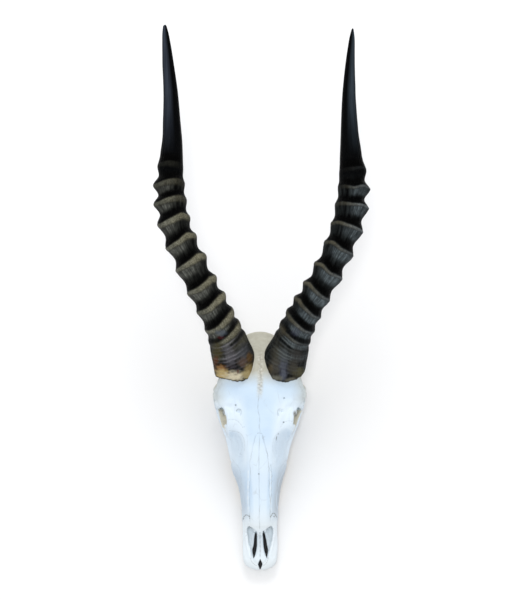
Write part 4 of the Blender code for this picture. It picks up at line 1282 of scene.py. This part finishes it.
def crackGroup():
    # Hairline cracks, as a mask.
    settings = crackSettings
    group, given, result = newGroup("hairlineCracks", ("Cracks",), Scale=60.0)
    cells = group.nodes.new("ShaderNodeTexVoronoi")
    cells.feature = "DISTANCE_TO_EDGE"
    group.links.new(given["Scale"], cells.inputs["Scale"])
    group.links.new(stretched(group, given["Vector"], settings["stretch"]), cells.inputs["Vector"])
    line = rangeOf(group, cells.outputs["Distance"], settings["width"], 0.0)
    broken = rangeOf(group, noiseOf(group, given["Vector"], *settings["breaks"]), *settings["span"])
    group.links.new(times(group, line, broken), result["Cracks"])
    return group


lengthwiseStreaks = streakGroup()
mottledGrain = mottleGroup()
hairlineCracks = crackGroup()


# Material of the bone

boneLook = {
    "bleached": (0.53, 0.66, 0.80),
    "bleachedPale": (0.59, 0.715, 0.83),
    # painted light: paler ridges, cheeks, rims, nose and bridge
    "pale": (0.75, 0.825, 0.875),
    "muzzle": (0.71, 0.77, 0.80),
    # painted shade on the steep sides
    "sides": (0.43, 0.485, 0.535),
    "cream": (0.505, 0.48, 0.375),
    "creamDark": (0.42, 0.385, 0.275),
    "orbit": (0.62, 0.60, 0.50),
    "porousDark": (0.35, 0.32, 0.24),
    "porousPale": (0.66, 0.66, 0.60),
    # dark seams, with painted shade in the pits and openings
    "seamsAndPitShade": (0.22, 0.23, 0.22),
    "crack": (0.40, 0.42, 0.43),
    # painted shade: the black of the nose slits and of the gap at the tip
    "dark": (0.012, 0.013, 0.015),
    "broadScale": 26.0,
    "fineScale": 210.0,
    "poreScale": 420.0,
    "crackScale": 60.0,
    "crackCover": 0.35,
    "roughness": (0.5, 0.64),
    "specular": 0.35,
    "bump": (0.35, 0.0005),  # strength and depth in metres
}


def boneMaterial():
    look = boneLook
    material, tree, shader = newMaterial("bleachedBone")
    place = tree.nodes.new("ShaderNodeTexCoord").outputs["Object"]
    marks, tints = attributeParts(tree, "boneMarksShadeAndLight"), attributeParts(tree, "boneTintsAndShade")
    broad = useGroup(tree, mottledGrain, place, Scale=look["broadScale"])
    fine = useGroup(tree, mottledGrain, place, Scale=look["fineScale"])
    pores = useGroup(tree, mottledGrain, place, Scale=look["poreScale"])
    cracks = useGroup(tree, hairlineCracks, place, Scale=look["crackScale"])["Cracks"]
    bleached = mixColour(tree, broad["Blotches"], look["bleached"], look["bleachedPale"])
    cream = mixColour(tree, fine["Blotches"], look["cream"], look["creamDark"])
    cream = mixColour(tree, rangeOf(tree, broad["Grain"], 0, 1, 0, 0.6), cream, look["cream"])
    holes = mixColour(tree, pores["Blotches"], look["porousPale"], look["porousDark"])
    porous = times(tree, marks["Blue"], rangeOf(tree, fine["Grain"], 0.2, 0.8, 0.35, 1.0))
    seamsAndPitShade = times(tree, marks["Red"], rangeOf(tree, fine["Blotches"], 0, 1, 0.7, 1.1))
    # Over the bleached bone: muzzle tone, painted light, painted shade on the sides, cream, olive orbits, porous
    # seam, cracks, dark seams with painted pit shade, and painted shade in the slits.
    colour = layOver(tree, bleached, (tints["Alpha"], look["muzzle"]), (marks["Alpha"], look["pale"]),
                     (tints["Blue"], look["sides"]), (tints["Red"], cream), (tints["Green"], look["orbit"]),
                     (porous, holes), (times(tree, cracks, look["crackCover"]), look["crack"]),
                     (seamsAndPitShade, look["seamsAndPitShade"]), (marks["Green"], look["dark"]))
    sunk = maths(tree, "ADD", times(tree, cracks, 0.5), times(tree, porous, fine["Blotches"]))
    height = maths(tree, "SUBTRACT", times(tree, fine["Grain"], 0.3), sunk)
    feedShader(tree, shader, look, colour, fine["Grain"], height)
    return material


cranium.data.materials.append(boneMaterial())


# Horn sheaths

# Colour of the painted highlight on the fine ridges.
ridgeGlow = {"horn_left": (0.15, 0.17, 0.165), "horn_right": (0.24, 0.23, 0.25)}
# Stains and painted sheen on the front of the sheaths: drawn centre, half sizes, colour and strength. The
# grey-blue patches are painted sheen.
hornStainsAndSheen = {
    "horn_right": (
        ((217.0, 352.0), (5.0, 9.0), (0.065, 0.055, 0.022), 0.8),
        ((243.5, 352.5), (6.5, 8.0), (0.075, 0.078, 0.085), 0.7),
        ((227.5, 348.0), (4.5, 4.0), (0.11, 0.11, 0.12), 0.45),
        ((230.5, 357.5), (5.5, 8.0), (0.12, 0.115, 0.13), 0.6),
        ((215.4, 361.0), (3.0, 4.5), (0.09, 0.035, 0.014), 0.9),
        ((249.0, 357.5), (3.2, 5.0), (0.11, 0.06, 0.018), 0.8),
        ((242.5, 362.5), (4.5, 4.5), (0.10, 0.065, 0.05), 0.8),
        ((220.5, 368.5), (5.5, 3.6), (0.27, 0.14, 0.05), 0.9),
        ((249.8, 369.0), (4.6, 5.6), (0.30, 0.22, 0.09), 0.85),
        ((222.5, 374.0), (7.0, 4.5), (0.50, 0.38, 0.17), 1.0),
        ((234.5, 376.0), (9.5, 4.4), (0.68, 0.61, 0.44), 1.0),
        ((247.0, 374.5), (5.0, 4.5), (0.46, 0.37, 0.18), 0.8),
        ((231.0, 366.8), (5.0, 1.6), (0.035, 0.03, 0.035), 0.9),
        ((218.8, 364.8), (1.3, 1.0), (0.03, 0.012, 0.004), 0.9),
        ((224.2, 366.0), (1.3, 0.9), (0.05, 0.02, 0.006), 0.85),
        ((229.4, 367.4), (1.5, 1.0), (0.02, 0.012, 0.01), 0.9),
        ((237.8, 371.8), (1.0, 2.2), (0.10, 0.035, 0.025), 0.85),
        ((228.6, 372.8), (1.4, 0.9), (0.16, 0.12, 0.06), 0.8),
        ((235.6, 374.6), (1.8, 0.9), (0.25, 0.21, 0.15), 0.7),
        ((243.4, 378.4), (0.8, 0.9), (0.02, 0.018, 0.012), 0.9),
        ((216.0, 368.6), (1.0, 1.6), (0.03, 0.02, 0.008), 0.9),
        ((220.4, 337.2), (3.2, 1.6), (0.045, 0.008, 0.008), 0.9),
        ((221.0, 333.0), (5.0, 3.0), (0.10, 0.12, 0.15), 0.6),
    ),
    "horn_left": (
        ((276.0, 354.0), (5.0, 9.0), (0.060, 0.056, 0.042), 0.7),
        ((283.5, 356.5), (5.0, 8.5), (0.066, 0.072, 0.074), 0.7),
        ((275.0, 367.0), (6.0, 8.0), (0.072, 0.066, 0.054), 0.75),
        ((283.5, 368.5), (4.6, 9.0), (0.082, 0.088, 0.110), 0.8),
        ((283.0, 375.5), (3.0, 5.0), (0.100, 0.110, 0.140), 0.7),
        ((270.2, 369.0), (2.8, 4.0), (0.12, 0.09, 0.048), 0.5),
        ((276.0, 378.0), (6.0, 2.8), (0.19, 0.185, 0.15), 0.7),
        ((293.0, 368.0), (5.0, 7.0), (0.070, 0.064, 0.050), 0.7),
        ((300.0, 372.5), (5.6, 5.0), (0.11, 0.10, 0.052), 0.65),
        ((291.5, 380.0), (6.0, 2.4), (0.18, 0.17, 0.13), 0.7),
        ((296.5, 357.0), (6.5, 9.0), (0.042, 0.038, 0.034), 0.6),
        ((282.0, 331.0), (3.2, 6.5), (0.06, 0.052, 0.034), 0.5),
        ((296.0, 332.0), (4.5, 3.5), (0.05, 0.055, 0.08), 0.4),
        ((302.4, 371.4), (0.8, 1.4), (0.02, 0.018, 0.008), 0.8),
        ((294.0, 374.8), (0.8, 1.6), (0.025, 0.02, 0.008), 0.8),
        ((298.0, 376.4), (0.7, 1.3), (0.02, 0.018, 0.008), 0.8),
        ((280.6, 372.0), (0.6, 4.5), (0.012, 0.012, 0.02), 0.7),
        ((286.6, 371.0), (0.6, 5.0), (0.012, 0.012, 0.02), 0.7),
    ),
}
# Uneven relief of the sheaths: height in millimetres, pace along the horn, reach round it, seed, and where
# along the horn it wanes and ends, in millimetres.
sheathReliefs = (
    (0.3, 0.012, 7, 5, (330, 430)),  # broad furrows
    (0.16, 0.02, 15, 9, (250, 300)),  # fine furrows between the rings
    (0.18, 0.5, 2.5, 13, (40, 90)),  # growth lines of the base
)
ridgeSettings = {
    "height": 0.55,  # millimetres
    "width": 1.0,
    "shineWidth": 0.85,
    "shineFrom": 25.0,  # millimetres along the horn
    "shineCover": 0.6,
}


def paintOver(colour, cover, amount, tint):
    # Lays a tint over what is painted, and adds to its cover.
    after = amount + cover * (1 - amount)
    share = np.divide(amount, after, out=np.zeros_like(after), where=after > 0)
    return colour + (np.array(tint) - colour) * share[..., None], after


def paintStainsAndSheen(name, skin, turn):
    # Colour and cover of the stains and painted sheen over the sheath's points.
    shape = skin.shape[:-1]
    places = drawingPlace(skin.reshape(-1, 3))
    front = smoothStep(-0.15, 0.25, np.cos(turn)).reshape(-1)
    colour, cover = np.zeros((len(places), 3)), np.zeros(len(places))
    for number, (centre, half, tint, strength) in enumerate(hornStainsAndSheen[name]):
        gap = np.linalg.norm((places - centre) / half, axis=1)
        near = np.flatnonzero(gap < 2)
        waver = [noise.noise(Vector((x * 0.35, y * 0.35, 5.3 * number))) for x, y in places[near].tolist()]
        amount = np.zeros(len(places))
        amount[near] = strength * smoothStep(1.5, 0.4, gap[near] + 0.45 * np.array(waver)) * front[near]
        colour, cover = paintOver(colour, cover, amount, tint)
    return colour.reshape(*shape, 3), cover.reshape(shape)


def sheathEdge(name, turn):
    # Where the sheath's lower edge lies along the horn, with its small notches.
    degrees = (np.degrees(turn) + 180) % 360 - 180
    edge = np.array(sheathEdges[name], float)
    start = np.interp(degrees, edge[:, 0], edge[:, 1])
    start[:-1] = (np.roll(start[:-1], 1) + 2 * start[:-1] + np.roll(start[:-1], -1)) / 4
    start[-1] = start[0]
    ragged = wobble(np.cos(turn), np.sin(turn), turn * 0, 0, 9, 3 + hornSides[name])
    ragged += 0.9 * wobble(np.cos(turn), np.sin(turn), turn * 0, 0, 24, 8 + hornSides[name])
    return start + hornSettings["edgeWear"] * ragged


def sheathRelief(name, s, turn, band):
    # Relief of the sheath in millimetres, and the shine on its fine ridges.
    settings = ridgeSettings
    cosine, sine = np.cos(turn), np.sin(turn)
    relief = 0.8 * band
    for height, pace, reach, seed, (waning, end) in sheathReliefs:
        relief += height * wobble(cosine, sine, s, pace, reach, seed) * smoothStep(end, waning, s)
    waver = s + 1.2 * wobble(cosine, sine, s, 0.04, 2.5, 21)
    ahead = np.cos(turn + ridgeTurns[name])
    glow = np.zeros_like(s)
    for number, ridge in enumerate(fineRidges[name]):
        reach = smoothStep(0.86 + 0.05 * math.sin(2.3 * number), 0.98, ahead)
        wide = smoothStep(0.1 + 0.2 * math.sin(1.9 * number), 0.8, ahead)
        relief += settings["height"] * np.exp(-(((waver - ridge) / settings["width"]) ** 2)) * wide
        bright = 0.65 + 0.3 * math.sin(1.7 * number)
        shine = bright * (0.3 * wide + 0.7 * reach * (ridge > settings["shineFrom"]))
        glow = np.maximum(glow, shine * np.exp(-(((waver - ridge) / settings["shineWidth"]) ** 2)))
    return relief, glow


def makeHorn(name):
    settings = hornSettings
    turns, steps = settings["turns"], settings["steps"]
    turn = np.linspace(0, 2 * math.pi, turns + 1) + math.pi
    turn[-1] = turn[0]
    start, tip = sheathEdge(name, turn), hornAxis(name)[1][-1]
    s = start + (tip - start) * np.linspace(0, 1, steps + 1)[:, None]
    turnGrid = np.broadcast_to(turn, s.shape)
    skin, spoke, (band, groove, below) = hornSkin(name, s, turnGrid)
    relief, glow = sheathRelief(name, s, turnGrid, band)
    skin += spoke * (relief * mm)[..., None]
    # Two more rows below the outer skin make the sheath's rim and inner wall.
    wall = settings["wallThickness"]
    deeper = s[:1] + settings["wallDepth"]
    rim = skin[0] - spoke[0] * wall * mm
    inside = hornSkin(name, deeper, turnGrid[:1])[0][0] - spoke[0] * settings["wallTaper"] * wall * mm
    skin = np.concatenate([[inside], [rim], skin])
    turnGrid, glow = (np.concatenate([field[:2], field]) for field in (turnGrid, glow))
    band, groove, below = (np.concatenate([mask[:1], mask[:1], mask]) for mask in (band, groove, below))
    s = np.concatenate([deeper, s[:1], s])
    colour, cover = paintStainsAndSheen(name, skin, turnGrid)
    # Painted highlight on the fine ridges, laid over the stains.
    colour, cover = paintOver(colour, cover, glow * ridgeSettings["shineCover"], ridgeGlow[name])
    bm = bmesh.new()
    bmesh.ops.create_grid(bm, x_segments=turns, y_segments=steps + 2, size=0.5)
    space = bm.verts.layers.float_vector.new("hornSpace")
    markLayer = bm.verts.layers.float_color.new("hornMarksAndHighlight")
    stainAndSheenLayer = bm.verts.layers.float_color.new("hornStainsAndSheen")
    radius = settings["textureRadius"]
    for vert in bm.verts:
        column, row = round((vert.co.x + 0.5) * turns), round((vert.co.y + 0.5) * (steps + 2))
        vert.co = skin[row, column]
        angle = turn[column]
        vert[space] = (radius * math.cos(angle), radius * math.sin(angle), s[row, column])
        aboveEdge = s[row, column] - s[2, column]
        # Pale band, dark groove, height above the lower edge, and the painted highlight in streaks below each
        # ring.
        vert[markLayer] = (band[row, column], groove[row, column], aboveEdge, below[row, column])
        vert[stainAndSheenLayer] = (*colour[row, column], cover[row, column])
    bmesh.ops.remove_doubles(bm, verts=bm.verts, dist=0.000002)
    if hornSides[name] < 0:
        bmesh.ops.reverse_faces(bm, faces=bm.faces)
    horn = makePiece(name.replace("horn_", "hornSheath_"), bm, name)
    horn.data.shade_smooth()
    print(horn.name, len(horn.data.polygons), "faces")
    return horn


horns = {name: makeHorn(name) for name in hornSides}


hornLook = {
    "horn_right": {
        "shade": (0.0011, 0.0012, 0.0012),
        "waist": (0.019, 0.020, 0.018),
        "light": (0.175, 0.18, 0.158),  # painted highlight in fine streaks below each ring
        "bandDark": (0.045, 0.043, 0.026),
        "bandInner": (0.33, 0.31, 0.215),
        "bandOuter": (0.285, 0.285, 0.23),
        "tipSheen": (0.034, 0.042, 0.058),
        # painted shade along the sheath's lower edge
        "edge": (0.02, 0.024, 0.026),
    },
    "horn_left": {
        "shade": (0.0011, 0.0013, 0.0015),
        "waist": (0.017, 0.020, 0.020),
        "light": (0.145, 0.175, 0.188),
        "bandDark": (0.06, 0.06, 0.05),
        # on this horn the bands are darker on the inner side and pale blue on the outer side, as painted shade
        # and painted highlight
        "bandInner": (0.14, 0.125, 0.08),
        "bandOuter": (0.24, 0.27, 0.29),
        "tipSheen": (0.032, 0.044, 0.056),
        # painted shade along the sheath's lower edge
        "edge": (0.03, 0.032, 0.03),
    },
    "strip": (0.0005, 0.0005, 0.0005),  # dark groove above each ring
    "tip": (0.0013, 0.0015, 0.0018),
    "dust": (0.3, 0.29, 0.24),
    "dustCover": 0.12,
    "mottleScale": 0.16,
    "litFront": (11, 23.5, 0, 1.12),  # span round the front of the painted highlight's mask, and what it is spread to
    "tipFrom": (246, 268),  # millimetres along the horn
    "sheenFrom": (290, 370),
    "grooved": (300, 250),
    "roughness": (0.28, 0.46),
    "specular": 0.012,
    "bump": (0.65, 0.0005),
}


def hornMaterial(name):
    look = {**hornLook, **hornLook[name]}
    material, tree, shader = newMaterial(name.replace("horn_", "keratin_"))
    place = attributeOf(tree, "hornSpace")["Vector"]
    front, outwards, along = axesOf(tree, place)
    marks, stainsAndSheen = attributeParts(tree, "hornMarksAndHighlight"), attributeOf(tree, "hornStainsAndSheen")
    streaks = useGroup(tree, lengthwiseStreaks, place)
    mottle = useGroup(tree, mottledGrain, place, Scale=look["mottleScale"])

    # Painted highlight in streaks below the rings, strongest where the horn faces front and out.
    facing = maths(tree, "ADD", front, times(tree, outwards, 0.25))
    lit = times(tree, marks["Alpha"], rangeOf(tree, streaks["Fine"], 0, 1, 0.32, 1),
                rangeOf(tree, facing, *look["litFront"]), rangeOf(tree, mottle["Blotches"], 0, 1, 0.35, 1))
    # Painted sheen towards the tip, on the front and outer side.
    sheen = times(tree, rangeOf(tree, outwards, -8, 9), rangeOf(tree, front, 3, 19),
                  rangeOf(tree, along, *look["sheenFrom"]), rangeOf(tree, streaks["Broad"], 0, 1, 0.6, 1))
    tip = mixColour(tree, sheen, look["tip"], look["tipSheen"])
    # Colour of the bands; on horn_left its pale blue outer side is a painted highlight and its darker inner side
    # painted shade.
    band = mixColour(tree, rangeOf(tree, outwards, -14, 16), look["bandInner"], look["bandOuter"])
    band = mixColour(tree, mottle["Grain"], look["bandDark"], band)
    # Pale worn crests, dimmed towards the sides of the horn as painted shade.
    wornAndShaded = times(tree, marks["Red"], rangeOf(tree, mottle["Blotches"], 0, 1, 0.6, 1),
                 rangeOf(tree, front, -12, 14, 0.35, 1), rangeOf(tree, marks["Red"], 0.25, 0.95, 0.5, 1))
    # Stains with the painted sheen and the ridges' painted highlight, where the grain allows.
    stainAndSheenCover = times(tree, stainsAndSheen["Alpha"], rangeOf(tree, mottle["Grain"], 0, 1, 0.75, 1.0))
    # Painted shade along the sheath's lower edge, ragged with the grain.
    rim = maths(tree, "SUBTRACT", marks["Blue"], times(tree, mottle["Grain"], 0.9))
    colour = mixColour(tree, streaks["Broad"], look["shade"], look["waist"])
    colour = layOver(tree, colour, (lit, look["light"]), (rangeOf(tree, along, *look["tipFrom"]), tip),
                     (marks["Green"], look["strip"]), (wornAndShaded, band), (stainAndSheenCover, stainsAndSheen["Color"]),
                     (rangeOf(tree, rim, 0.9, 0.1), look["edge"]),
                     (times(tree, mottle["Specks"], look["dustCover"]), look["dust"]))
    grooves = times(tree, streaks["Fine"], rangeOf(tree, along, *look["grooved"]))
    height = maths(tree, "ADD", grooves, times(tree, mottle["Grain"], 0.5))
    feedShader(tree, shader, look, colour, mottle["Grain"], height)
    return material


for name, horn in horns.items():
    horn.data.materials.append(hornMaterial(name))


# Teeth

toothSettings = {
    "lobes": {"p2": 1, "p3": 1, "p4": 1, "m1": 2, "m2": 2, "m3": 3},
    "across": 30,  # faces over the grinding surface
    "lengthwise": {1: 26, 2: 40, 3: 54},  # by the number of lobes
    "rows": 16,  # up the crown
    "crown": ((0, 0.92), (1.5, 0.97), (5, 1.0), (19, 0.86)),  # height in millimetres and share of the outline
    "cusps": 1.7,  # height of the grinding surface's relief, in millimetres
    "floorGap": 0.02,  # millimetres
    "outlineLimit": 0.93,  # share of the face's drawn half width that the outer side keeps within
    "styleWidth": 0.13,  # in lobes
    "ribWidth": 0.1,
}


def grindingSurface(lobes, u, v):
    # Depth of the worn surface above the tips, with masks of the stained pits and the dentine.
    lobe = np.minimum(np.floor((v + 1) / 2 * lobes), lobes - 1)
    b = (v - ((lobe + 0.5) / lobes * 2 - 1)) * lobes
    edge = 1 - np.maximum(abs(u), abs(v))
    crescent = -0.22 + 0.5 * b**2
    gap = abs(u - crescent)
    pit = smoothStep(0.15, 0.04, gap) * smoothStep(0.74, 0.55, abs(b))
    rim = np.exp(-(((gap - 0.24) / 0.08) ** 2)) * smoothStep(0.98, 0.8, abs(b))
    outerRim = np.exp(-(((edge - 0.07) / 0.08) ** 2))
    enamel = np.maximum(rim, outerRim)
    cusp = 0.55 * np.cos(b * np.pi / 2) * smoothStep(-0.9, 0.9, u) + 0.25 * smoothStep(-0.9, -0.3, u)
    depth = 0.85 - 0.55 * cusp - 0.3 * enamel + 0.6 * pit
    return np.clip(depth, 0, 1.4), pit, np.clip(1 - enamel - pit, 0, 1)


def crownSides(lobes, u, v):
    # Place in the lobes, upright styles between them, a rib on each, and the reach of the sides and of the ends.
    phase = (v + 1) / 2 * lobes
    style = np.exp(-((abs(phase - np.round(phase)) / toothSettings["styleWidth"]) ** 2))
    rib = np.exp(-((abs(phase - np.floor(phase) - 0.5) / toothSettings["ribWidth"]) ** 2))
    outer = 0.86 + 0.12 * style + 0.07 * rib
    inner = 0.80 + 0.20 * np.sin(np.pi * np.clip(phase - np.floor(phase), 0, 1)) ** 0.6
    ends = np.clip(1 - abs(v) ** 7, 0, 1) ** 0.45 * 0.35 + 0.65
    return phase, style, rib, np.where(u > 0, outer, inner), ends


def withinOutline(points, u, side):
    # Moves a crown inwards as far as it would be seen beyond the face's outline.
    drawn = drawingPlace(points)
    halfWidth = abs(drawn[:, 0] - middleColumn).max()
    excess = (outlineShare(drawn) - toothSettings["outlineLimit"]).max() * halfWidth
    if excess > 0:
        shift = excess * cameraSettings["pixelSize"] * 1.05
        points[:, 0] -= side * shift * (0.5 + 0.5 * smoothStep(-0.6, 0.6, u))
    return points


def crownLevels(bm, lobes):
    # Grinding surface and walls of a crown in a plain block, as vertices with their place across, along and up.
    settings = toothSettings
    bmesh.ops.create_grid(bm, x_segments=settings["across"], y_segments=settings["lengthwise"][lobes], size=1)
    bmesh.ops.recalc_face_normals(bm, faces=bm.faces)
    levels = [(vert, (vert.co.x, vert.co.y, 0.0)) for vert in bm.verts]
    edges = [edge for edge in bm.edges if edge.is_boundary]
    heights = settings["crown"][-1][0] * (np.arange(1, settings["rows"] + 1) / settings["rows"]) ** 1.3
    for height in heights.tolist():
        raised = bmesh.ops.extrude_edge_only(bm, edges=edges)["geom"]
        edges = [part for part in raised if isinstance(part, bmesh.types.BMEdge)]
        verts = [part for part in raised if isinstance(part, bmesh.types.BMVert)]
        levels += [(vert, (vert.co.x, vert.co.y, height)) for vert in verts]
    bmesh.ops.holes_fill(bm, edges=edges)
    return levels


def makeTooth(nodeName):
    settings = toothSettings
    lobes = settings["lobes"][nodeName.split("_")[-1]]
    low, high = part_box(nodeName)
    middle, half = (low + high) / 2 / mm, (high - low) / 2 / mm
    side = 1 if middle.x > faceOrigin.x / mm else -1
    bm = bmesh.new()
    layer = bm.verts.layers.float_color.new("toothMarks")
    flatCount = (settings["across"] + 1) * (settings["lengthwise"][lobes] + 1)
    levels = crownLevels(bm, lobes)
    u, v, z = np.array([level for _, level in levels]).T
    onTop = np.arange(len(z)) < flatCount
    depth, pit, dentine = (np.where(onTop, field, 0) for field in grindingSurface(lobes, u, v))
    phase, style, rib, reach, ends = crownSides(lobes, u, v)
    share = np.interp(z, *zip(*settings["crown"]))
    x = middle.x + side * u * half.x * reach * ends * share
    y = middle.y + v * half.y * share * (1 - 0.06 * u**2)
    boundary = np.maximum(abs(u), abs(v)) > 0.999
    hollow = 0.85 - 0.5 * np.cos((phase - np.floor(phase) - 0.5) * np.pi) * (u > 0)
    lift = np.where(boundary, hollow, 0) * settings["cusps"]
    rise = np.where(boundary, lift, depth * settings["cusps"])
    z = np.where(onTop, rise, z + lift * smoothStep(6, 0, z))
    z = np.clip(z, settings["floorGap"], half.z * 2)
    points = withinOutline(np.column_stack([x, y, z]) * mm, u, side)
    groove = ~onTop * np.where(u > 0, (1 - style) * (1 - rib), style)
    marks = np.column_stack([pit, dentine, groove, np.ones(len(z))])
    for (vert, _), point, mark in zip(levels, points.tolist(), marks.tolist()):
        vert.co = point
        vert[layer] = mark
    bmesh.ops.recalc_face_normals(bm, faces=bm.faces)
    tooth = makePiece(nodeName + "_crown", bm, nodeName)
    tooth.data.shade_smooth()
    return tooth


enamelLook = {
    "enamel": (0.60, 0.57, 0.47),
    "enamelPale": (0.68, 0.66, 0.58),
    "dentine": (0.40, 0.30, 0.17),
    "stain": (0.10, 0.065, 0.035),
    "neck": (0.33, 0.25, 0.15),
    "fineScale": 240.0,
    "coarseScale": 70.0,
    "crackScale": 420.0,
    "neckFrom": (0.005, 0.014),  # metres above the floor
    "roughness": (0.26, 0.42),
    "specular": 0.5,
    "bump": (0.3, 0.0003),
}


def enamelMaterial():
    look = enamelLook
    material, tree, shader = newMaterial("toothEnamel")
    place = tree.nodes.new("ShaderNodeTexCoord").outputs["Object"]
    marks = attributeParts(tree, "toothMarks")
    fine = useGroup(tree, mottledGrain, place, Scale=look["fineScale"])
    coarse = useGroup(tree, mottledGrain, place, Scale=look["coarseScale"])
    cracks = useGroup(tree, hairlineCracks, place, Scale=look["crackScale"])["Cracks"]
    enamel = mixColour(tree, coarse["Blotches"], look["enamel"], look["enamelPale"])
    neck = times(tree, rangeOf(tree, axesOf(tree, place)["Z"], *look["neckFrom"]),
                 rangeOf(tree, fine["Blotches"], 0, 1, 0.3, 0.9))
    groove = times(tree, marks["Blue"], rangeOf(tree, coarse["Grain"], 0.3, 0.9, 0.1, 0.7))
    dark = maths(tree, "MAXIMUM", marks["Red"], times(tree, cracks, 0.5))
    colour = layOver(tree, enamel, (neck, look["neck"]), (times(tree, marks["Green"], 0.85), look["dentine"]),
                     (groove, look["neck"]), (dark, look["stain"]))
    relief = maths(tree, "SUBTRACT", times(tree, fine["Grain"], 0.4), times(tree, cracks, 0.4))
    feedShader(tree, shader, look, colour, fine["Grain"], relief)
    return material


toothEnamel = enamelMaterial()
for nodeName in sorted(nodes):
    if nodeName.startswith("tooth_"):
        makeTooth(nodeName).data.materials.append(toothEnamel)
print("teeth made")
